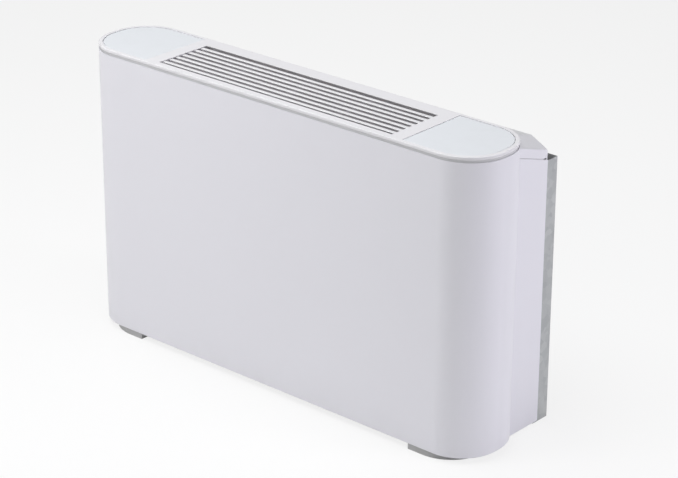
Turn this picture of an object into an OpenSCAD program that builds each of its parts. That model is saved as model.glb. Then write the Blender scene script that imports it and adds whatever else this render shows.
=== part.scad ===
// Vertical fan coil unit: a rounded cabinet with a top outlet grille and two service lids,
// a sloping rear box that stands against the wall, and the fan, coil and controls inside.
// Millimetres, +Z up, front towards -Y, origin on the floor under the middle of the unit.

/* [Cabinet] */
// Overall width
cabinet_w = 800; // [760:10:900]
// Overall height, feet included
cabinet_h = 490; // [480:5:540]
// Overall depth, front panel to wall
unit_d = 226; // [222:2:250]
// Depth of the rounded front casing
casing_d = 146; // [142:2:154]
// Plan radius of the casing's corners
corner_r = 68; // [56:1:70]
// Sheet thickness of the front panel
panel_t = 1.2; // [0.8:0.1:2]
// Width of the panel's folded bottom flange
panel_flange = 14; // [12:1:18]
// Length of the panel's straight lips at the back
back_lip = 30; // [15:1:50]
// Height of the feet
foot_h = 10; // [10:1:16]
// Length of each service bay, from the end plate to the cabinet's end
end_bay = 138; // [124:1:150]

/* [Top cover] */
// Thickness of the cover's rim
cover_t = 7; // [6.5:0.5:10]
// Shadow gap between the cover and the front panel
shadow_gap = 2.4; // [0.8:0.1:3]
// Radius of the cover's top edge
cover_edge_r = 1.5; // [1:0.5:4]
// Depth of the skirt that nests in the front panel
skirt_h = 13; // [8:1:18]
// Wall of the skirt
skirt_t = 2; // [1.5:0.1:3]
// Width of the rim round the lids
lid_rim = 6.5; // [5.5:0.5:9]
// Thickness of the lids
lid_t = 2.6; // [2:0.1:3]
// Width of the ledge under the lids
ledge_w = 5; // [3:0.5:7]

/* [Outlet grille] */
// Depth of the slotted field
grille_d = 105.6; // [98:0.2:108]
// Margin between the front edge and the slotted field
grille_front = 12.5; // [11.5:0.5:16]
// Number of slats
slat_count = 7; // [5:1:8]
// Width of each slat's top
slat_w = 6.8; // [6:0.2:9]

/* [Rear box] */
// How far each rear side stands in from the casing's end
side_inset = 22; // [16:1:40]
// Depth of the strip of back plate behind the rear sides
strip_d = 26; // [8:1:26]
// Sheet thickness of the chassis, rear sides and hood
sheet_t = 1.5; // [1:0.1:2]
// Slope of the hood, in degrees
hood_slope = 17.5; // [12:0.5:20]
// Chamfer along the hood's sides and rear
hood_chamfer = 18; // [12:1:26]
// Height of the hood's side flanges
hood_flange = 16; // [12:0.2:22]
// Depth of the back plate's folded returns
tray_d = 35; // [34:1:36]

/* [Fan] */
// Outer radius of the impellers
impeller_r = 68; // [60:1:70]
// Room for air between each scroll and the end plate
inlet_room = 40.5; // [30:0.5:60]
// Blades on each impeller
blade_count = 30; // [20:1:36]
// Radius of the motor's body
motor_r = 46; // [38:1:48]
// Length of the motor's body
motor_l = 96; // [86:2:100]
// Radius of the motor's shaft
shaft_r = 5; // [4:0.5:6]

/* [Coil] */
// Thickness of the fin pack
coil_t = 48; // [46:1:50]
// Distance of the coil's lower end behind the front panel
coil_front = 31.5; // [30:0.5:36]
// Distance of the coil's upper end from the wall
coil_back = 43.5; // [42:0.5:50]
// Height of the coil's lower end over the fan deck
coil_foot = 23.4; // [22:0.2:30]
// Depth of the coil's upper end under the cover
coil_head = 56.9; // [54:0.1:70]
// Tubes in each of the two rows
tube_count = 7; // [5:1:7]
// Outer radius of the tubes
tube_r = 5; // [4:0.1:5.4]
// Number of fins
fin_count = 40; // [20:1:50]
// Thickness of a fin
fin_t = 0.6; // [0.4:0.1:1]
// Radius of the water connections' bores
socket_bore_r = 9.3; // [7.5:0.1:10]
// Outer radius of the condensate spout
spout_r = 8; // [6:0.5:9]

/* [Filter] */
// Thickness of the filter's frame
filter_t = 6.6; // [5:0.1:7]
// Width of the frame's border
filter_border = 10; // [8:1:16]

/* [Controls] */
// Radius of the thermostat knob
thermostat_r = 17; // [14:0.5:19]
// Radius of the speed selector
speed_r = 14; // [11:0.5:16]
// Height of the knobs
knob_h = 14; // [10:1:18]

/* [Mounting] */
// Radius of the wall fixing holes
wall_hole_r = 4.5; // [3.5:0.5:6]
// Width between the wall fixing holes
wall_hole_dx = 640; // [600:10:660]
// Height between the wall fixing holes
wall_hole_dz = 290; // [240:10:300]

/* [Hidden] */
$fn = 96;
over = 1;          // how far a cutting shape runs past a face
touch_gap = 0.3;   // clearance between curved faces that meet
fit_gap = 0.05;    // clearance of a shaft, bearing or bush in its seat

// The cabinet's planes
front_y = -unit_d / 2;
back_y = unit_d / 2;
casing_y = front_y + casing_d / 2;
casing_back_y = front_y + casing_d;
panel_in_y = front_y + panel_t;
cover_z = cabinet_h - cover_t;
panel_top_z = cover_z - shadow_gap;
skirt_z = cover_z - skirt_h;
skirt_inset = panel_t + touch_gap;
end_r = min(corner_r, casing_d / 2 - 1);
corner_x = cabinet_w / 2 - end_r;
lip_x = corner_x - back_lip;
chassis_x = cabinet_w / 2 - end_bay;

// The grille field and its frame under the cover
grille_y = front_y + grille_front;
bar_w = 24;
bar_over = 2;
grille_l = 2 * (chassis_x - bar_w - bar_over);
slot_w = (grille_d - slat_count * slat_w) / (slat_count + 1);
slat_pitch = slat_w + slot_w;
slat_lip = 0.6;
slat_web_t = 2;
frame_t = 2.5;
slat_sink = 1.2;
slat_top_z = cabinet_h - slat_sink;
slat_web = slat_top_z - cover_z + frame_t;
field_wall = 2.5;
field_lip = 0.8;
field_recess = 7;
field_rim = field_recess + field_wall;
rib_count = 3;
slat_hold = 4;
cover_skin = 3;

// The lids and their hinges
lid_gap = 0.8;
lid_x = chassis_x - bar_over;
lid_top_z = cabinet_h - 0.4;
lid_z = lid_top_z - lid_t;
ledge_z = lid_z - touch_gap;
hinge_r = 2.5;
hinge_pin_r = 1.5;
hinge_pin_l = 3.5;
hinge_x = lid_x + hinge_r + 0.5;
hinge_z = lid_top_z - hinge_r;
hinge_room = 8;
barrel_l = casing_d - 2 * (lid_rim + lid_gap);
lid_rib_h = 2;
lid_rib_w = 1.6;

// The feet
foot_inset = 2;
foot_setback = 20;
foot_wall = 3;
foot_top = 3;
foot_bay = 22;
foot_x = chassis_x + foot_bay;
pipe_hole = [54, 80];
pipe_inset = 65;
pipe_x = cabinet_w / 2 - pipe_inset;
grommet_r = 12;
grommet_bore_r = 7;
screw_r = 1.6;
screw_edge = 2.7;
screw_inset = 20;
screw_y = front_y + panel_t + panel_flange - screw_edge;

// The rear box
side_x = cabinet_w / 2 - side_inset;
side_y = back_y - strip_d;
side_z = 3;
side_flange = 12;
hood_step = 6;
hood_top = cabinet_h - hood_step;
hood_clear = 4;
hood_screw_inset = 150;
hood_seam = 0.5;
hood_notch = [22, 2.7];
tray_x = side_x - sheet_t;
tray_y = back_y - tray_d;
tray_top_z = seam_z(side_y) - 2;
pipe_window = [70, 78];
window_inset = 60;
window_x = tray_x - window_inset;
window_z = 205;
function hood_z(y) = hood_top - tan(hood_slope) * (y - casing_back_y);
function seam_z(y) = hood_z(y) - hood_chamfer - hood_flange;

// The chassis
chassis_in_x = chassis_x - sheet_t;
plate_z = foot_h + panel_t + 0.8;
plate_back_y = back_y - sheet_t;
plate_flange = 17;
plate_break_y = min(casing_back_y + (hood_top - hood_clear - skirt_z) / tan(hood_slope),
  side_y - hood_chamfer - hood_clear);
window_end = 7;
window_edge = 3;
lead_hole_r = 11;
lead_hole_dy = 30;
lead_hole_dz = 25;
deck_rise = 218;
deck_z = foot_h + deck_rise;
deck_top_z = deck_z + sheet_t;
deck_inset = 13;
deck_y = front_y + deck_inset;

// The fan
fan_y = -2;
fan_rise = 120;
fan_z = foot_h + fan_rise;
scroll_t = 1.5;
scroll_gap = 6;
motor_room = 22;
scroll_x = motor_l / 2 + motor_room;
scroll_w = chassis_in_x - inlet_room - scroll_x;
impeller_l = scroll_w - 2 * scroll_gap;
tongue_gap = 7;
throat_gap = 8;
scroll_r0 = impeller_r + tongue_gap;
scroll_r1 = back_y - throat_gap - fan_y;
tongue_angle = 30;
throat_angle = 270;
spiral_steps = 24;
inlet_lap = 10;
inlet_r = impeller_r - inlet_lap;
inlet_collar = 6;
mouth_flange = 8;
tongue_y = fan_y - scroll_r0 * sin(tongue_angle);
throat_y = fan_y + scroll_r1;
impeller_x = scroll_x + scroll_w / 2;
blade_depth = 13;
blade_in_r = impeller_r - blade_depth;
ring_w = 8;
ring_t = 2.5;
hub_r = 14;
hub_l = 36;
shaft_end = 8;
shaft_l = 2 * (impeller_x + hub_l / 2 + shaft_end);
bearing_r = 13;
bearing_w = 9;
motor_bell = 10;
mount_inset = 18;
mount_x = motor_l / 2 - mount_inset;
mount_t = 5;
mount_w = 8;
cradle_t = 4;
cradle_flange = 20;
strap_w = 60;

// The coil, in its own sloping frame: Y up the slope, Z out of its front face
coil_low = [front_y + coil_front, deck_top_z + coil_foot];
coil_high = [back_y - coil_back, skirt_z - coil_head];
coil_run = coil_high - coil_low;
coil_l = norm(coil_run);
coil_slope = atan2(coil_run[1], coil_run[0]);
coil_y = (coil_low[0] + coil_high[0]) / 2;
coil_z = (coil_low[1] + coil_high[1]) / 2;
row_dz = coil_t / 2;
tube_edge = 20;
tube_dy = (coil_l - 2 * tube_edge) / (tube_count - 1);
sheet_margin = 2;
bend_out = 2;
bend_x = chassis_x + bend_out;
fin_end = 12;
fin_pitch = 2 * (chassis_in_x - fin_end) / (fin_count - 1);
header_r = 11;
header_end = 10;
header_out = 20;
header_l = (tube_count - 1) * tube_dy + 2 * header_end;
header_x = chassis_x + header_out;
branch_l = 18;
socket_x = header_x + branch_l;
socket_r = 14;
socket_clear = 6;
supply_s = header_l / 2 - socket_r - 1;
return_y = casing_back_y - panel_t - socket_r - socket_clear;
return_s = (return_y - coil_y + row_dz / 2 * sin(coil_slope)) / cos(coil_slope);
socket_l = 26;
socket_depth = 18;
branch_r = 8;
vent_r = 4;
vent_cap_r = 6;
vent_l = 12;
tube_ys = [for (i = [0 : tube_count - 1]) (i - (tube_count - 1) / 2) * tube_dy];

// The condensate tray
pan_t = 2;
pan_front = 7;
pan_y0 = front_y + pan_front;
pan_rear = 4;
pan_y1 = tongue_y - pan_rear;
pan_front_h = 44;
pan_front_z = deck_top_z + pan_front_h;
pan_rear_h = 17;
pan_rear_z = deck_top_z + pan_rear_h;
pan_end = 3.5;
pan_x = chassis_in_x - pan_end;
spout_flange_r = 12;
spout_in = 16;
spout_y = pan_y0 + spout_in;
spout_z = deck_top_z + spout_flange_r + touch_gap;
spout_l = 42;
spout_step_r = spout_r + 1;
spout_step_l = 12;

// The filter and its rails
rail_t = 1.7;
rail_lip = 8.8;
rail_lip_t = 1;
rail_z = 0.5;
rail_h = 30;
rail_end = 1.8;
rail_y0 = front_y + panel_t + panel_flange + rail_end;
rail_stop = 6;
rail_y1 = back_y - tray_d - rail_stop;
filter_z = rail_z + rail_lip_t + touch_gap;
filter_w = 2 * (chassis_in_x - rail_t - touch_gap);
filter_front = 30;
filter_rear = 2;
filter_y0 = front_y + filter_front;
filter_y1 = rail_y1 - filter_rear;
media_t = 2;
tab_r = 9;

// The controls
box_standoff = 24;
box_clear = 34;
box_x = chassis_x + box_standoff;
box_l = end_bay - box_standoff - box_clear;
box_w = 104;
box_h = 106;
control_drop = 35;
control_top_z = cabinet_h - control_drop;
control_t = 3;
control_over = 2;
box_top_z = control_top_z - control_t;
box_z = box_top_z - box_h;
control_x = box_x + box_l / 2;
knob_dx = 16;
knob_dy = 24;
switch_dx = 22;
thermostat_at = [control_x - knob_dx, casing_y - knob_dy];
speed_at = [control_x - knob_dx, casing_y + knob_dy];
switch_at = [control_x + switch_dx, casing_y];
stem_r = 4;
stem_l = 8;
stem_gap = 0.2;
switch_r = 9;
switch_w = 13;
switch_tilt = 9;
switch_sink = control_t / 2;
switch_pin_r = 0.9;
bracket_y = casing_y - box_w / 2 + 2;
bracket_w = 30;
bracket_h = 30;
bracket_drop = 40;
bracket_z = box_top_z - bracket_drop;
terminal_w = 22;
terminal_h = 16;
terminal_pitch = 9;
can_r = 14;
can_h = 46;
can_dy = 26;

// Shapes that several pieces share

module rounded_rect(w, d, r) {
  square([w - 2 * r, d], center = true);
  square([w, d - 2 * r], center = true);
  for (sx = [-1, 1], sy = [-1, 1])
    translate([sx * (w / 2 - r), sy * (d / 2 - r)]) circle(r);
}

// The casing's plan, moved in by inset on every side
module casing_outline(inset = 0) {
  translate([0, casing_y])
    rounded_rect(cabinet_w - 2 * inset, casing_d - 2 * inset, end_r - inset);
}

// What lies beyond x on the right
module right_of(x) {
  translate([x, -unit_d]) square([cabinet_w, 2 * unit_d]);
}

module right_end(inset, x) {
  intersection() {
    casing_outline(inset);
    right_of(x);
  }
}

// A sheet standing across the unit, drawn in Y and Z
module cross_sheet(x, t) {
  translate([x, 0, 0]) rotate([90, 0, 90]) linear_extrude(t) children();
}

// The same, centred on x = 0
module cross_prism(w) {
  cross_sheet(-w / 2, w) children();
}

// Turns a shape made about +Z so that it lies along +X
module along_x() {
  rotate([0, 90, 0]) children();
}

module both_sides() {
  children();
  mirror([1, 0, 0]) children();
}

module in_coil() {
  translate([0, coil_y, coil_z]) rotate([coil_slope, 0, 0]) children();
}

module at_fan() {
  translate([0, fan_y, fan_z]) children();
}

// The cabinet

module panel_ring(width) {
  difference() {
    casing_outline();
    casing_outline(width);
    translate([-lip_x, casing_y]) square([2 * lip_x, casing_d]);
  }
}

module front_panel() {
  color("white") difference() {
    translate([0, 0, foot_h]) {
      linear_extrude(panel_top_z - foot_h) panel_ring(panel_t);
      linear_extrude(panel_t) panel_ring(panel_t + panel_flange);
    }
    casing_screw_holes(screw_r + 0.2);
  }
}

// The cover's slab with its rounded top edge: corners turned, sides extruded
module cover_edge(reach) {
  square([reach - cover_edge_r, cover_t]);
  square([reach, cover_t - cover_edge_r]);
  translate([reach - cover_edge_r, cover_t - cover_edge_r]) circle(cover_edge_r);
}

module cover_slab() {
  straight_x = 2 * corner_x;
  straight_y = casing_d - 2 * end_r;
  for (turn = [0, 180]) rotate(turn) {
    translate([corner_x, straight_y / 2, 0]) rotate_extrude(angle = 90) right_half() cover_edge(end_r);
    translate([-corner_x, straight_y / 2, 0]) rotate(90) rotate_extrude(angle = 90)
      right_half() cover_edge(end_r);
    translate([-corner_x, 0, 0]) rotate([90, 0, 90]) linear_extrude(straight_x) cover_edge(casing_d / 2);
    if (straight_y > 0) translate([corner_x, -straight_y / 2, 0]) rotate([90, 0, 180]) mirror([1, 0, 0])
      linear_extrude(straight_y) right_half() cover_edge(end_r);
  }
}

module right_half() {
  intersection() {
    children();
    square([cabinet_w, cabinet_w]);
  }
}

module cover_openings() {
  translate([0, 0, ledge_z]) linear_extrude(cover_t) right_end(lid_rim, lid_x);
  translate([0, 0, skirt_z - over]) linear_extrude(skirt_h + cover_t) {
    right_end(lid_rim + ledge_w, lid_x);
    difference() {
      right_end(lid_rim, lid_x);
      right_of(lid_x + hinge_room);
    }
  }
  translate([hinge_x, casing_y, hinge_z]) rotate([90, 0, 0])
    cylinder(r = hinge_pin_r + 0.1, h = barrel_l + 2 * (hinge_pin_l + touch_gap), center = true);
}

// The slotted field's plan, let out at the rear and both ends, and at the front
module field_plan(out, front = 0) {
  translate([-grille_l / 2 - out, grille_y - front]) square([grille_l + 2 * out, grille_d + front + out]);
}

// The field's opening: a thin lip on top, undercut so that the slots end in the dark
module field_opening() {
  flare = [[0, 0], [field_recess, -field_recess / 2], [field_recess, -2 * cover_t], [0, -2 * cover_t]];
  lip_z = cabinet_h - field_lip;
  translate([0, 0, cover_z - over]) linear_extrude(cover_t + 2 * over) field_plan(0);
  translate([0, grille_y + grille_d, lip_z]) cross_prism(grille_l) polygon(flare);
  both_sides() translate([grille_l / 2, grille_y, lip_z]) rotate([90, 0, 0]) mirror([0, 0, 1])
    linear_extrude(grille_d) polygon(flare);
}

module top_cover() {
  color("ghostwhite") difference() {
    union() {
      translate([0, casing_y, cover_z]) cover_slab();
      translate([0, 0, skirt_z]) linear_extrude(skirt_h) difference() {
        casing_outline(skirt_inset);
        casing_outline(skirt_inset + skirt_t);
      }
    }
    both_sides() cover_openings();
    field_opening();
    translate([0, 0, cover_z - over]) linear_extrude(cover_t - cover_skin + over) difference() {
      translate([-lid_x + field_wall, front_y + lid_rim])
        square([2 * (lid_x - field_wall), casing_d - 2 * lid_rim]);
      field_plan(field_rim, field_wall);
    }
  }
}

// One slat's section: a broad lip, undercut to a thin web
module slat_section() {
  h = slat_w / 2;
  w = slat_web_t / 2;
  undercut = slat_lip + (h - w);
  polygon([[-h, 0], [-h, -slat_lip], [-w, -undercut], [-w, -slat_web], [w, -slat_web], [w, -undercut],
           [h, -slat_lip], [h, 0]]);
}

module outlet_grille() {
  frame_z = cover_z - frame_t;
  slat_l = grille_l - 1;
  color("whitesmoke") {
    for (i = [1 : slat_count])
      translate([0, grille_y + i * slat_pitch - slat_w / 2, slat_top_z]) cross_prism(slat_l) slat_section();
    translate([0, 0, frame_z]) linear_extrude(frame_t) difference() {
      field_plan(field_rim, field_wall);
      translate([-slat_l / 2 + slat_hold, grille_y]) square([slat_l - 2 * slat_hold, grille_d + field_recess]);
    }
    for (i = [1 : rib_count])
      translate([-grille_l / 2 + i * grille_l / (rib_count + 1) - 1, grille_y - over, frame_z])
        cube([2, grille_d + field_recess + 2 * over, frame_t]);
  }
}

module lid() {
  color("ghostwhite") {
    translate([0, 0, lid_z]) linear_extrude(lid_t) right_end(lid_rim + lid_gap, hinge_x);
    translate([hinge_x, casing_y, hinge_z]) rotate([90, 0, 0]) {
      cylinder(r = hinge_r, h = barrel_l, center = true);
      cylinder(r = hinge_pin_r, h = barrel_l + 2 * hinge_pin_l, center = true);
    }
    rib_inset = lid_rim + ledge_w + 1;
    translate([0, 0, lid_z - lid_rib_h]) linear_extrude(lid_rib_h + over) difference() {
      right_end(rib_inset, hinge_x + hinge_room);
      right_end(rib_inset + lid_rib_w, hinge_x + hinge_room + lid_rib_w);
    }
  }
}

module left_lid() {
  mirror([1, 0, 0]) lid();
}

module right_lid() {
  lid();
}

// The foot's plan: the casing's round end, set back from its end
module foot_plan(inset) {
  intersection() {
    translate([-foot_setback, 0]) casing_outline(foot_inset + inset);
    right_of(foot_x + inset);
  }
}

// A moulded cap under one end of the casing, hollow below and ribbed
module foot() {
  difference() {
    linear_extrude(foot_h) foot_plan(0);
    translate([0, 0, -over]) linear_extrude(foot_h - foot_top + over) difference() {
      foot_plan(foot_wall);
      for (i = [-1, 1]) translate([foot_x, casing_y + i * (pipe_hole[1] / 2 + 2) - foot_wall / 2])
        square([cabinet_w, foot_wall]);
    }
    casing_screw_holes(screw_r + 0.2);
  }
}

module left_foot() {
  color("gainsboro") mirror([1, 0, 0]) difference() {
    foot();
    translate([pipe_x - pipe_hole[0] / 2, casing_y - pipe_hole[1] / 2, -over])
      cube([pipe_hole[0], pipe_hole[1], foot_h + 2 * over]);
  }
}

module right_foot() {
  color("gainsboro") difference() {
    foot();
    translate([pipe_x, casing_y, -over]) cylinder(r = grommet_r + fit_gap, h = foot_h + 2 * over);
  }
}

module cable_grommet() {
  flange = 2;
  lip_r = grommet_r + 3;
  color("dimgray") translate([pipe_x, casing_y, foot_h - foot_top - flange]) difference() {
    union() {
      cylinder(r = lip_r, h = flange);
      cylinder(r = grommet_r, h = foot_top + 2 * flange);
      translate([0, 0, foot_top + flange]) cylinder(r = lip_r, h = flange);
    }
    translate([0, 0, -over]) cylinder(r = grommet_bore_r, h = foot_top + 2 * flange + 2 * over);
  }
}

module at_casing_screws() {
  for (sx = [-1, 1], x = [foot_x + screw_inset, corner_x]) translate([sx * x, screw_y, 0]) children();
}

module casing_screw_holes(r) {
  at_casing_screws() cylinder(r = r, h = foot_h + panel_t + over);
}

module casing_screws() {
  head_h = 2.5;
  seat_z = foot_h - foot_top;
  color("silver") at_casing_screws() {
    translate([0, 0, seat_z - head_h]) cylinder(r = 2 * screw_r - 0.2, h = head_h);
    translate([0, 0, seat_z - over]) cylinder(r = screw_r, h = foot_top + panel_t + 6);
  }
}

// The rear box

// Room for the casing's rounded end, with a gap to scribe against
module casing_room() {
  translate([0, 0, -over]) linear_extrude(2 * cabinet_h) casing_outline(-0.4);
}

module rear_side() {
  color("white") difference() {
    union() {
      cross_sheet(side_x - sheet_t, sheet_t) polygon([[casing_y, side_z], [side_y, side_z],
        [side_y, seam_z(side_y)], [casing_y, seam_z(casing_y)]]);
      translate([side_x - side_flange, casing_y, side_z]) cube([side_flange, tray_y - 2 - casing_y, sheet_t]);
    }
    casing_room();
  }
}

module left_rear_side() {
  mirror([1, 0, 0]) rear_side();
}

module right_rear_side() {
  rear_side();
}

// The hood's envelope, moved in by inset: a sloping top, chamfered at the rear and the sides
module hood_form(inset) {
  drop = inset == 0 ? hood_seam : -over;
  rear_y = side_y - inset;
  break_y = side_y - hood_chamfer;
  lowered = inset / cos(hood_slope);
  turn_back = inset * tan((hood_slope + atan(1 + tan(hood_slope))) / 4);
  top_z = hood_z(casing_y) - lowered;
  intersection() {
    cross_prism(cabinet_w) polygon([[casing_y, seam_z(casing_y) + drop], [casing_y, top_z],
      [break_y - turn_back, hood_z(break_y - turn_back) - lowered],
      [rear_y, hood_z(side_y) - hood_chamfer - turn_back], [rear_y, seam_z(rear_y) + drop]]);
    translate([0, casing_back_y, hood_top]) rotate([90 - hood_slope, 0, 0])
      translate([0, 0, -unit_d]) linear_extrude(2 * unit_d) polygon([
        [-side_x + hood_chamfer, -inset], [side_x - hood_chamfer, -inset],
        [side_x - inset, -hood_chamfer - inset * tan(22.5)], [side_x - inset, -cabinet_h],
        [-side_x + inset, -cabinet_h], [-side_x + inset, -hood_chamfer - inset * tan(22.5)]]);
  }
}

module at_hood_screws() {
  for (x = [-1, 0, 1]) translate([x * (tray_x - hood_screw_inset), side_y, seam_z(side_y) + hood_flange / 2])
    rotate([-90, 0, 0]) children();
}

module rear_hood() {
  color("lightgray") difference() {
    hood_form(0);
    hood_form(sheet_t);
    casing_room();
    at_hood_screws() translate([0, 0, -sheet_t - over]) cylinder(r = 2.15, h = sheet_t + 2 * over);
    both_sides() translate([side_x - sheet_t - over, side_y - hood_notch[0] - 4, seam_z(side_y - 4)])
      cube([sheet_t + 2 * over, hood_notch[0], hood_seam + hood_notch[1]]);
  }
}

module hood_screws() {
  color("silver") at_hood_screws() {
    cylinder(r1 = 4, r2 = 3, h = 2.4);
    translate([0, 0, -8]) cylinder(r = 2, h = 8 + over);
  }
}

// The galvanised back plate: a shallow tray with four folded returns
module back_plate() {
  color("silver") difference() {
    translate([-tray_x, tray_y, 0]) cube([2 * tray_x, tray_d, tray_top_z]);
    translate([-tray_x + sheet_t, tray_y - over, sheet_t])
      cube([2 * (tray_x - sheet_t), tray_d - sheet_t + over, tray_top_z - 2 * sheet_t]);
    for (sx = [-1, 1], sz = [-1, 1])
      translate([sx * wall_hole_dx / 2, back_y, tray_top_z / 2 + sz * wall_hole_dz / 2])
        rotate([90, 0, 0]) cylinder(r = wall_hole_r, h = 4 * sheet_t, center = true);
    translate([-window_x - pipe_window[0] / 2, back_y - 2 * sheet_t, window_z])
      cube([pipe_window[0], 4 * sheet_t, pipe_window[1]]);
  }
}

// The chassis

module coil_window() {
  translate([coil_y, coil_z]) rotate(coil_slope) square([coil_l - 2 * window_end, coil_t - 2 * window_edge], center = true);
}

module end_plate(hole_y, hole_z, hole_r) {
  color("lightsteelblue") {
    cross_sheet(chassis_in_x, sheet_t) difference() {
      polygon([[panel_in_y, plate_z], [plate_back_y, plate_z], [plate_back_y, tray_top_z - sheet_t - 0.5],
        [tray_y, tray_top_z - sheet_t - 0.5], [tray_y, seam_z(tray_y) + hood_flange], [plate_break_y, skirt_z],
        [panel_in_y, skirt_z]]);
      coil_window();
      translate([hole_y, hole_z]) circle(hole_r);
    }
    translate([chassis_x - plate_flange, panel_in_y, plate_z])
      cube([plate_flange, sheet_t, skirt_z - plate_z]);
    translate([chassis_in_x, plate_back_y - sheet_t, plate_z])
      cube([plate_flange + sheet_t, sheet_t, tray_top_z - sheet_t - 0.5 - plate_z]);
  }
}

module left_end_plate() {
  mirror([1, 0, 0]) end_plate(spout_y, spout_z, spout_step_r + 0.6);
}

module right_end_plate() {
  end_plate(deck_y + lead_hole_dy, deck_z - lead_hole_dz, lead_hole_r);
}

module fan_deck() {
  color("lightsteelblue") difference() {
    translate([-chassis_in_x, deck_y, deck_z])
      cube([2 * chassis_in_x, plate_back_y - sheet_t - deck_y, sheet_t]);
    both_sides() translate([scroll_x + scroll_t, tongue_y, deck_z - over])
      cube([scroll_w - 2 * scroll_t, throat_y - tongue_y, sheet_t + 2 * over]);
  }
}

// The fan

// A point of the volute at a turn from the top, forwards, under and up the rear
function spiral(turn, t) =
  let (r = scroll_r0 + (scroll_r1 - scroll_r0) * (turn - tongue_angle) / (throat_angle - tongue_angle) + t)
  [fan_y - r * sin(turn), fan_z + r * cos(turn)];

module volute(t, top_z) {
  step = (throat_angle - tongue_angle) / spiral_steps;
  polygon([for (i = [0 : spiral_steps]) spiral(tongue_angle + i * step, t),
    [throat_y + t, top_z], [tongue_y - t, top_z]]);
}

module scroll() {
  color("gray") difference() {
    union() {
      cross_sheet(scroll_x, scroll_w) volute(scroll_t, deck_z);
      translate([scroll_x - mouth_flange, tongue_y - mouth_flange, deck_z - sheet_t])
        cube([scroll_w + 2 * mouth_flange, throat_y + scroll_t - tongue_y + mouth_flange, sheet_t]);
      at_fan() translate([scroll_x - inlet_collar, 0, 0]) along_x()
        cylinder(r = inlet_r + 2, h = scroll_w + 2 * inlet_collar);
    }
    cross_sheet(scroll_x + scroll_t, scroll_w - 2 * scroll_t) volute(0, deck_z + over);
    at_fan() translate([scroll_x - inlet_collar - over, 0, 0]) along_x()
      cylinder(r = inlet_r, h = scroll_w + 2 * (inlet_collar + over));
  }
}

module left_scroll() {
  mirror([1, 0, 0]) scroll();
}

module right_scroll() {
  scroll();
}

// A forward-curved blade, from the inner radius to just under the rim
module blade() {
  lean = 9;
  t = 0.5;
  tip_r = impeller_r - 1;
  mid_r = (blade_in_r + tip_r) / 2;
  points = [[blade_in_r, -lean], [mid_r, -lean * 0.72], [tip_r, 0]];
  polygon([for (p = points) (p[0] - t) * [cos(p[1]), sin(p[1])] + [0, t],
    for (i = [2, 1, 0]) (points[i][0] + t) * [cos(points[i][1]), sin(points[i][1])] - [0, t]]);
}

module impeller() {
  color("slategray") at_fan() translate([impeller_x - impeller_l / 2, 0, 0]) along_x() difference() {
    union() {
      linear_extrude(impeller_l) for (i = [0 : blade_count - 1]) rotate(i * 360 / blade_count) blade();
      for (z = [0, impeller_l - ring_t]) translate([0, 0, z]) linear_extrude(ring_t) difference() {
        circle(impeller_r);
        circle(impeller_r - ring_w);
      }
      translate([0, 0, (impeller_l - ring_t) / 2]) cylinder(r = impeller_r - 0.5, h = ring_t);
      translate([0, 0, (impeller_l - hub_l) / 2]) cylinder(r = hub_r, h = hub_l);
    }
    translate([0, 0, -over]) cylinder(r = shaft_r + fit_gap, h = impeller_l + 2 * over);
  }
}

module left_impeller() {
  mirror([1, 0, 0]) impeller();
}

module right_impeller() {
  impeller();
}

// The motor's can with its stepped end bells, bored for the shaft and the two bearings
module motor() {
  boss_r = bearing_r + 5;
  color("darkgray") at_fan() along_x() rotate_extrude() difference() {
    polygon([[0, -motor_l / 2 - motor_bell], [boss_r, -motor_l / 2 - motor_bell], [boss_r, -motor_l / 2],
      [motor_r - 5, -motor_l / 2], [motor_r, -motor_l / 2 + 5], [motor_r, motor_l / 2 - 5],
      [motor_r - 5, motor_l / 2], [boss_r, motor_l / 2], [boss_r, motor_l / 2 + motor_bell],
      [0, motor_l / 2 + motor_bell]]);
    translate([0, -motor_l]) square([shaft_r + 0.5, 2 * motor_l]);
    for (z = [-1, 1]) translate([0, z * (motor_l / 2 + motor_bell) - (z > 0 ? bearing_w : 0)])
      square([bearing_r + fit_gap, bearing_w]);
  }
}

module motor_bearings() {
  bearing_x = motor_l / 2 + motor_bell - bearing_w;
  color("gainsboro") both_sides() at_fan() translate([bearing_x, 0, 0]) along_x() difference() {
    cylinder(r = bearing_r, h = bearing_w);
    translate([0, 0, -over]) cylinder(r = shaft_r + fit_gap, h = bearing_w + 2 * over);
  }
}

module motor_shaft() {
  color("silver") at_fan() along_x() cylinder(r = shaft_r, h = shaft_l, center = true);
}

module motor_mounts() {
  color("dimgray") both_sides() at_fan() translate([mount_x - mount_w / 2, 0, 0]) along_x() difference() {
    cylinder(r = motor_r + mount_t, h = mount_w);
    translate([0, 0, -over]) cylinder(r = motor_r + fit_gap, h = mount_w + 2 * over);
  }
}

// Two ring straps that hang the motor from the deck
module motor_cradle() {
  hold_r = motor_r + mount_t + fit_gap;
  strap_t = 3;
  color("lightsteelblue") both_sides() {
    cross_sheet(mount_x - strap_t / 2, strap_t) difference() {
      union() {
        translate([fan_y, fan_z]) circle(hold_r + cradle_t);
        translate([fan_y - strap_w / 2, fan_z]) square([strap_w, deck_z - fan_z]);
      }
      translate([fan_y, fan_z]) circle(hold_r);
    }
    translate([mount_x - cradle_flange / 2, fan_y - strap_w / 2, deck_z - sheet_t])
      cube([cradle_flange, strap_w, sheet_t]);
  }
}

// The coil

module tube_places() {
  for (y = tube_ys, row = [-1, 1]) translate([y, row * row_dz / 2]) children();
}

module coil_fins() {
  color("lightblue") in_coil() for (i = [0 : fin_count - 1])
    cross_sheet((i - (fin_count - 1) / 2) * fin_pitch - fin_t / 2, fin_t) difference() {
      square([coil_l, coil_t], center = true);
      tube_places() circle(tube_r + fit_gap);
    }
}

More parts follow.
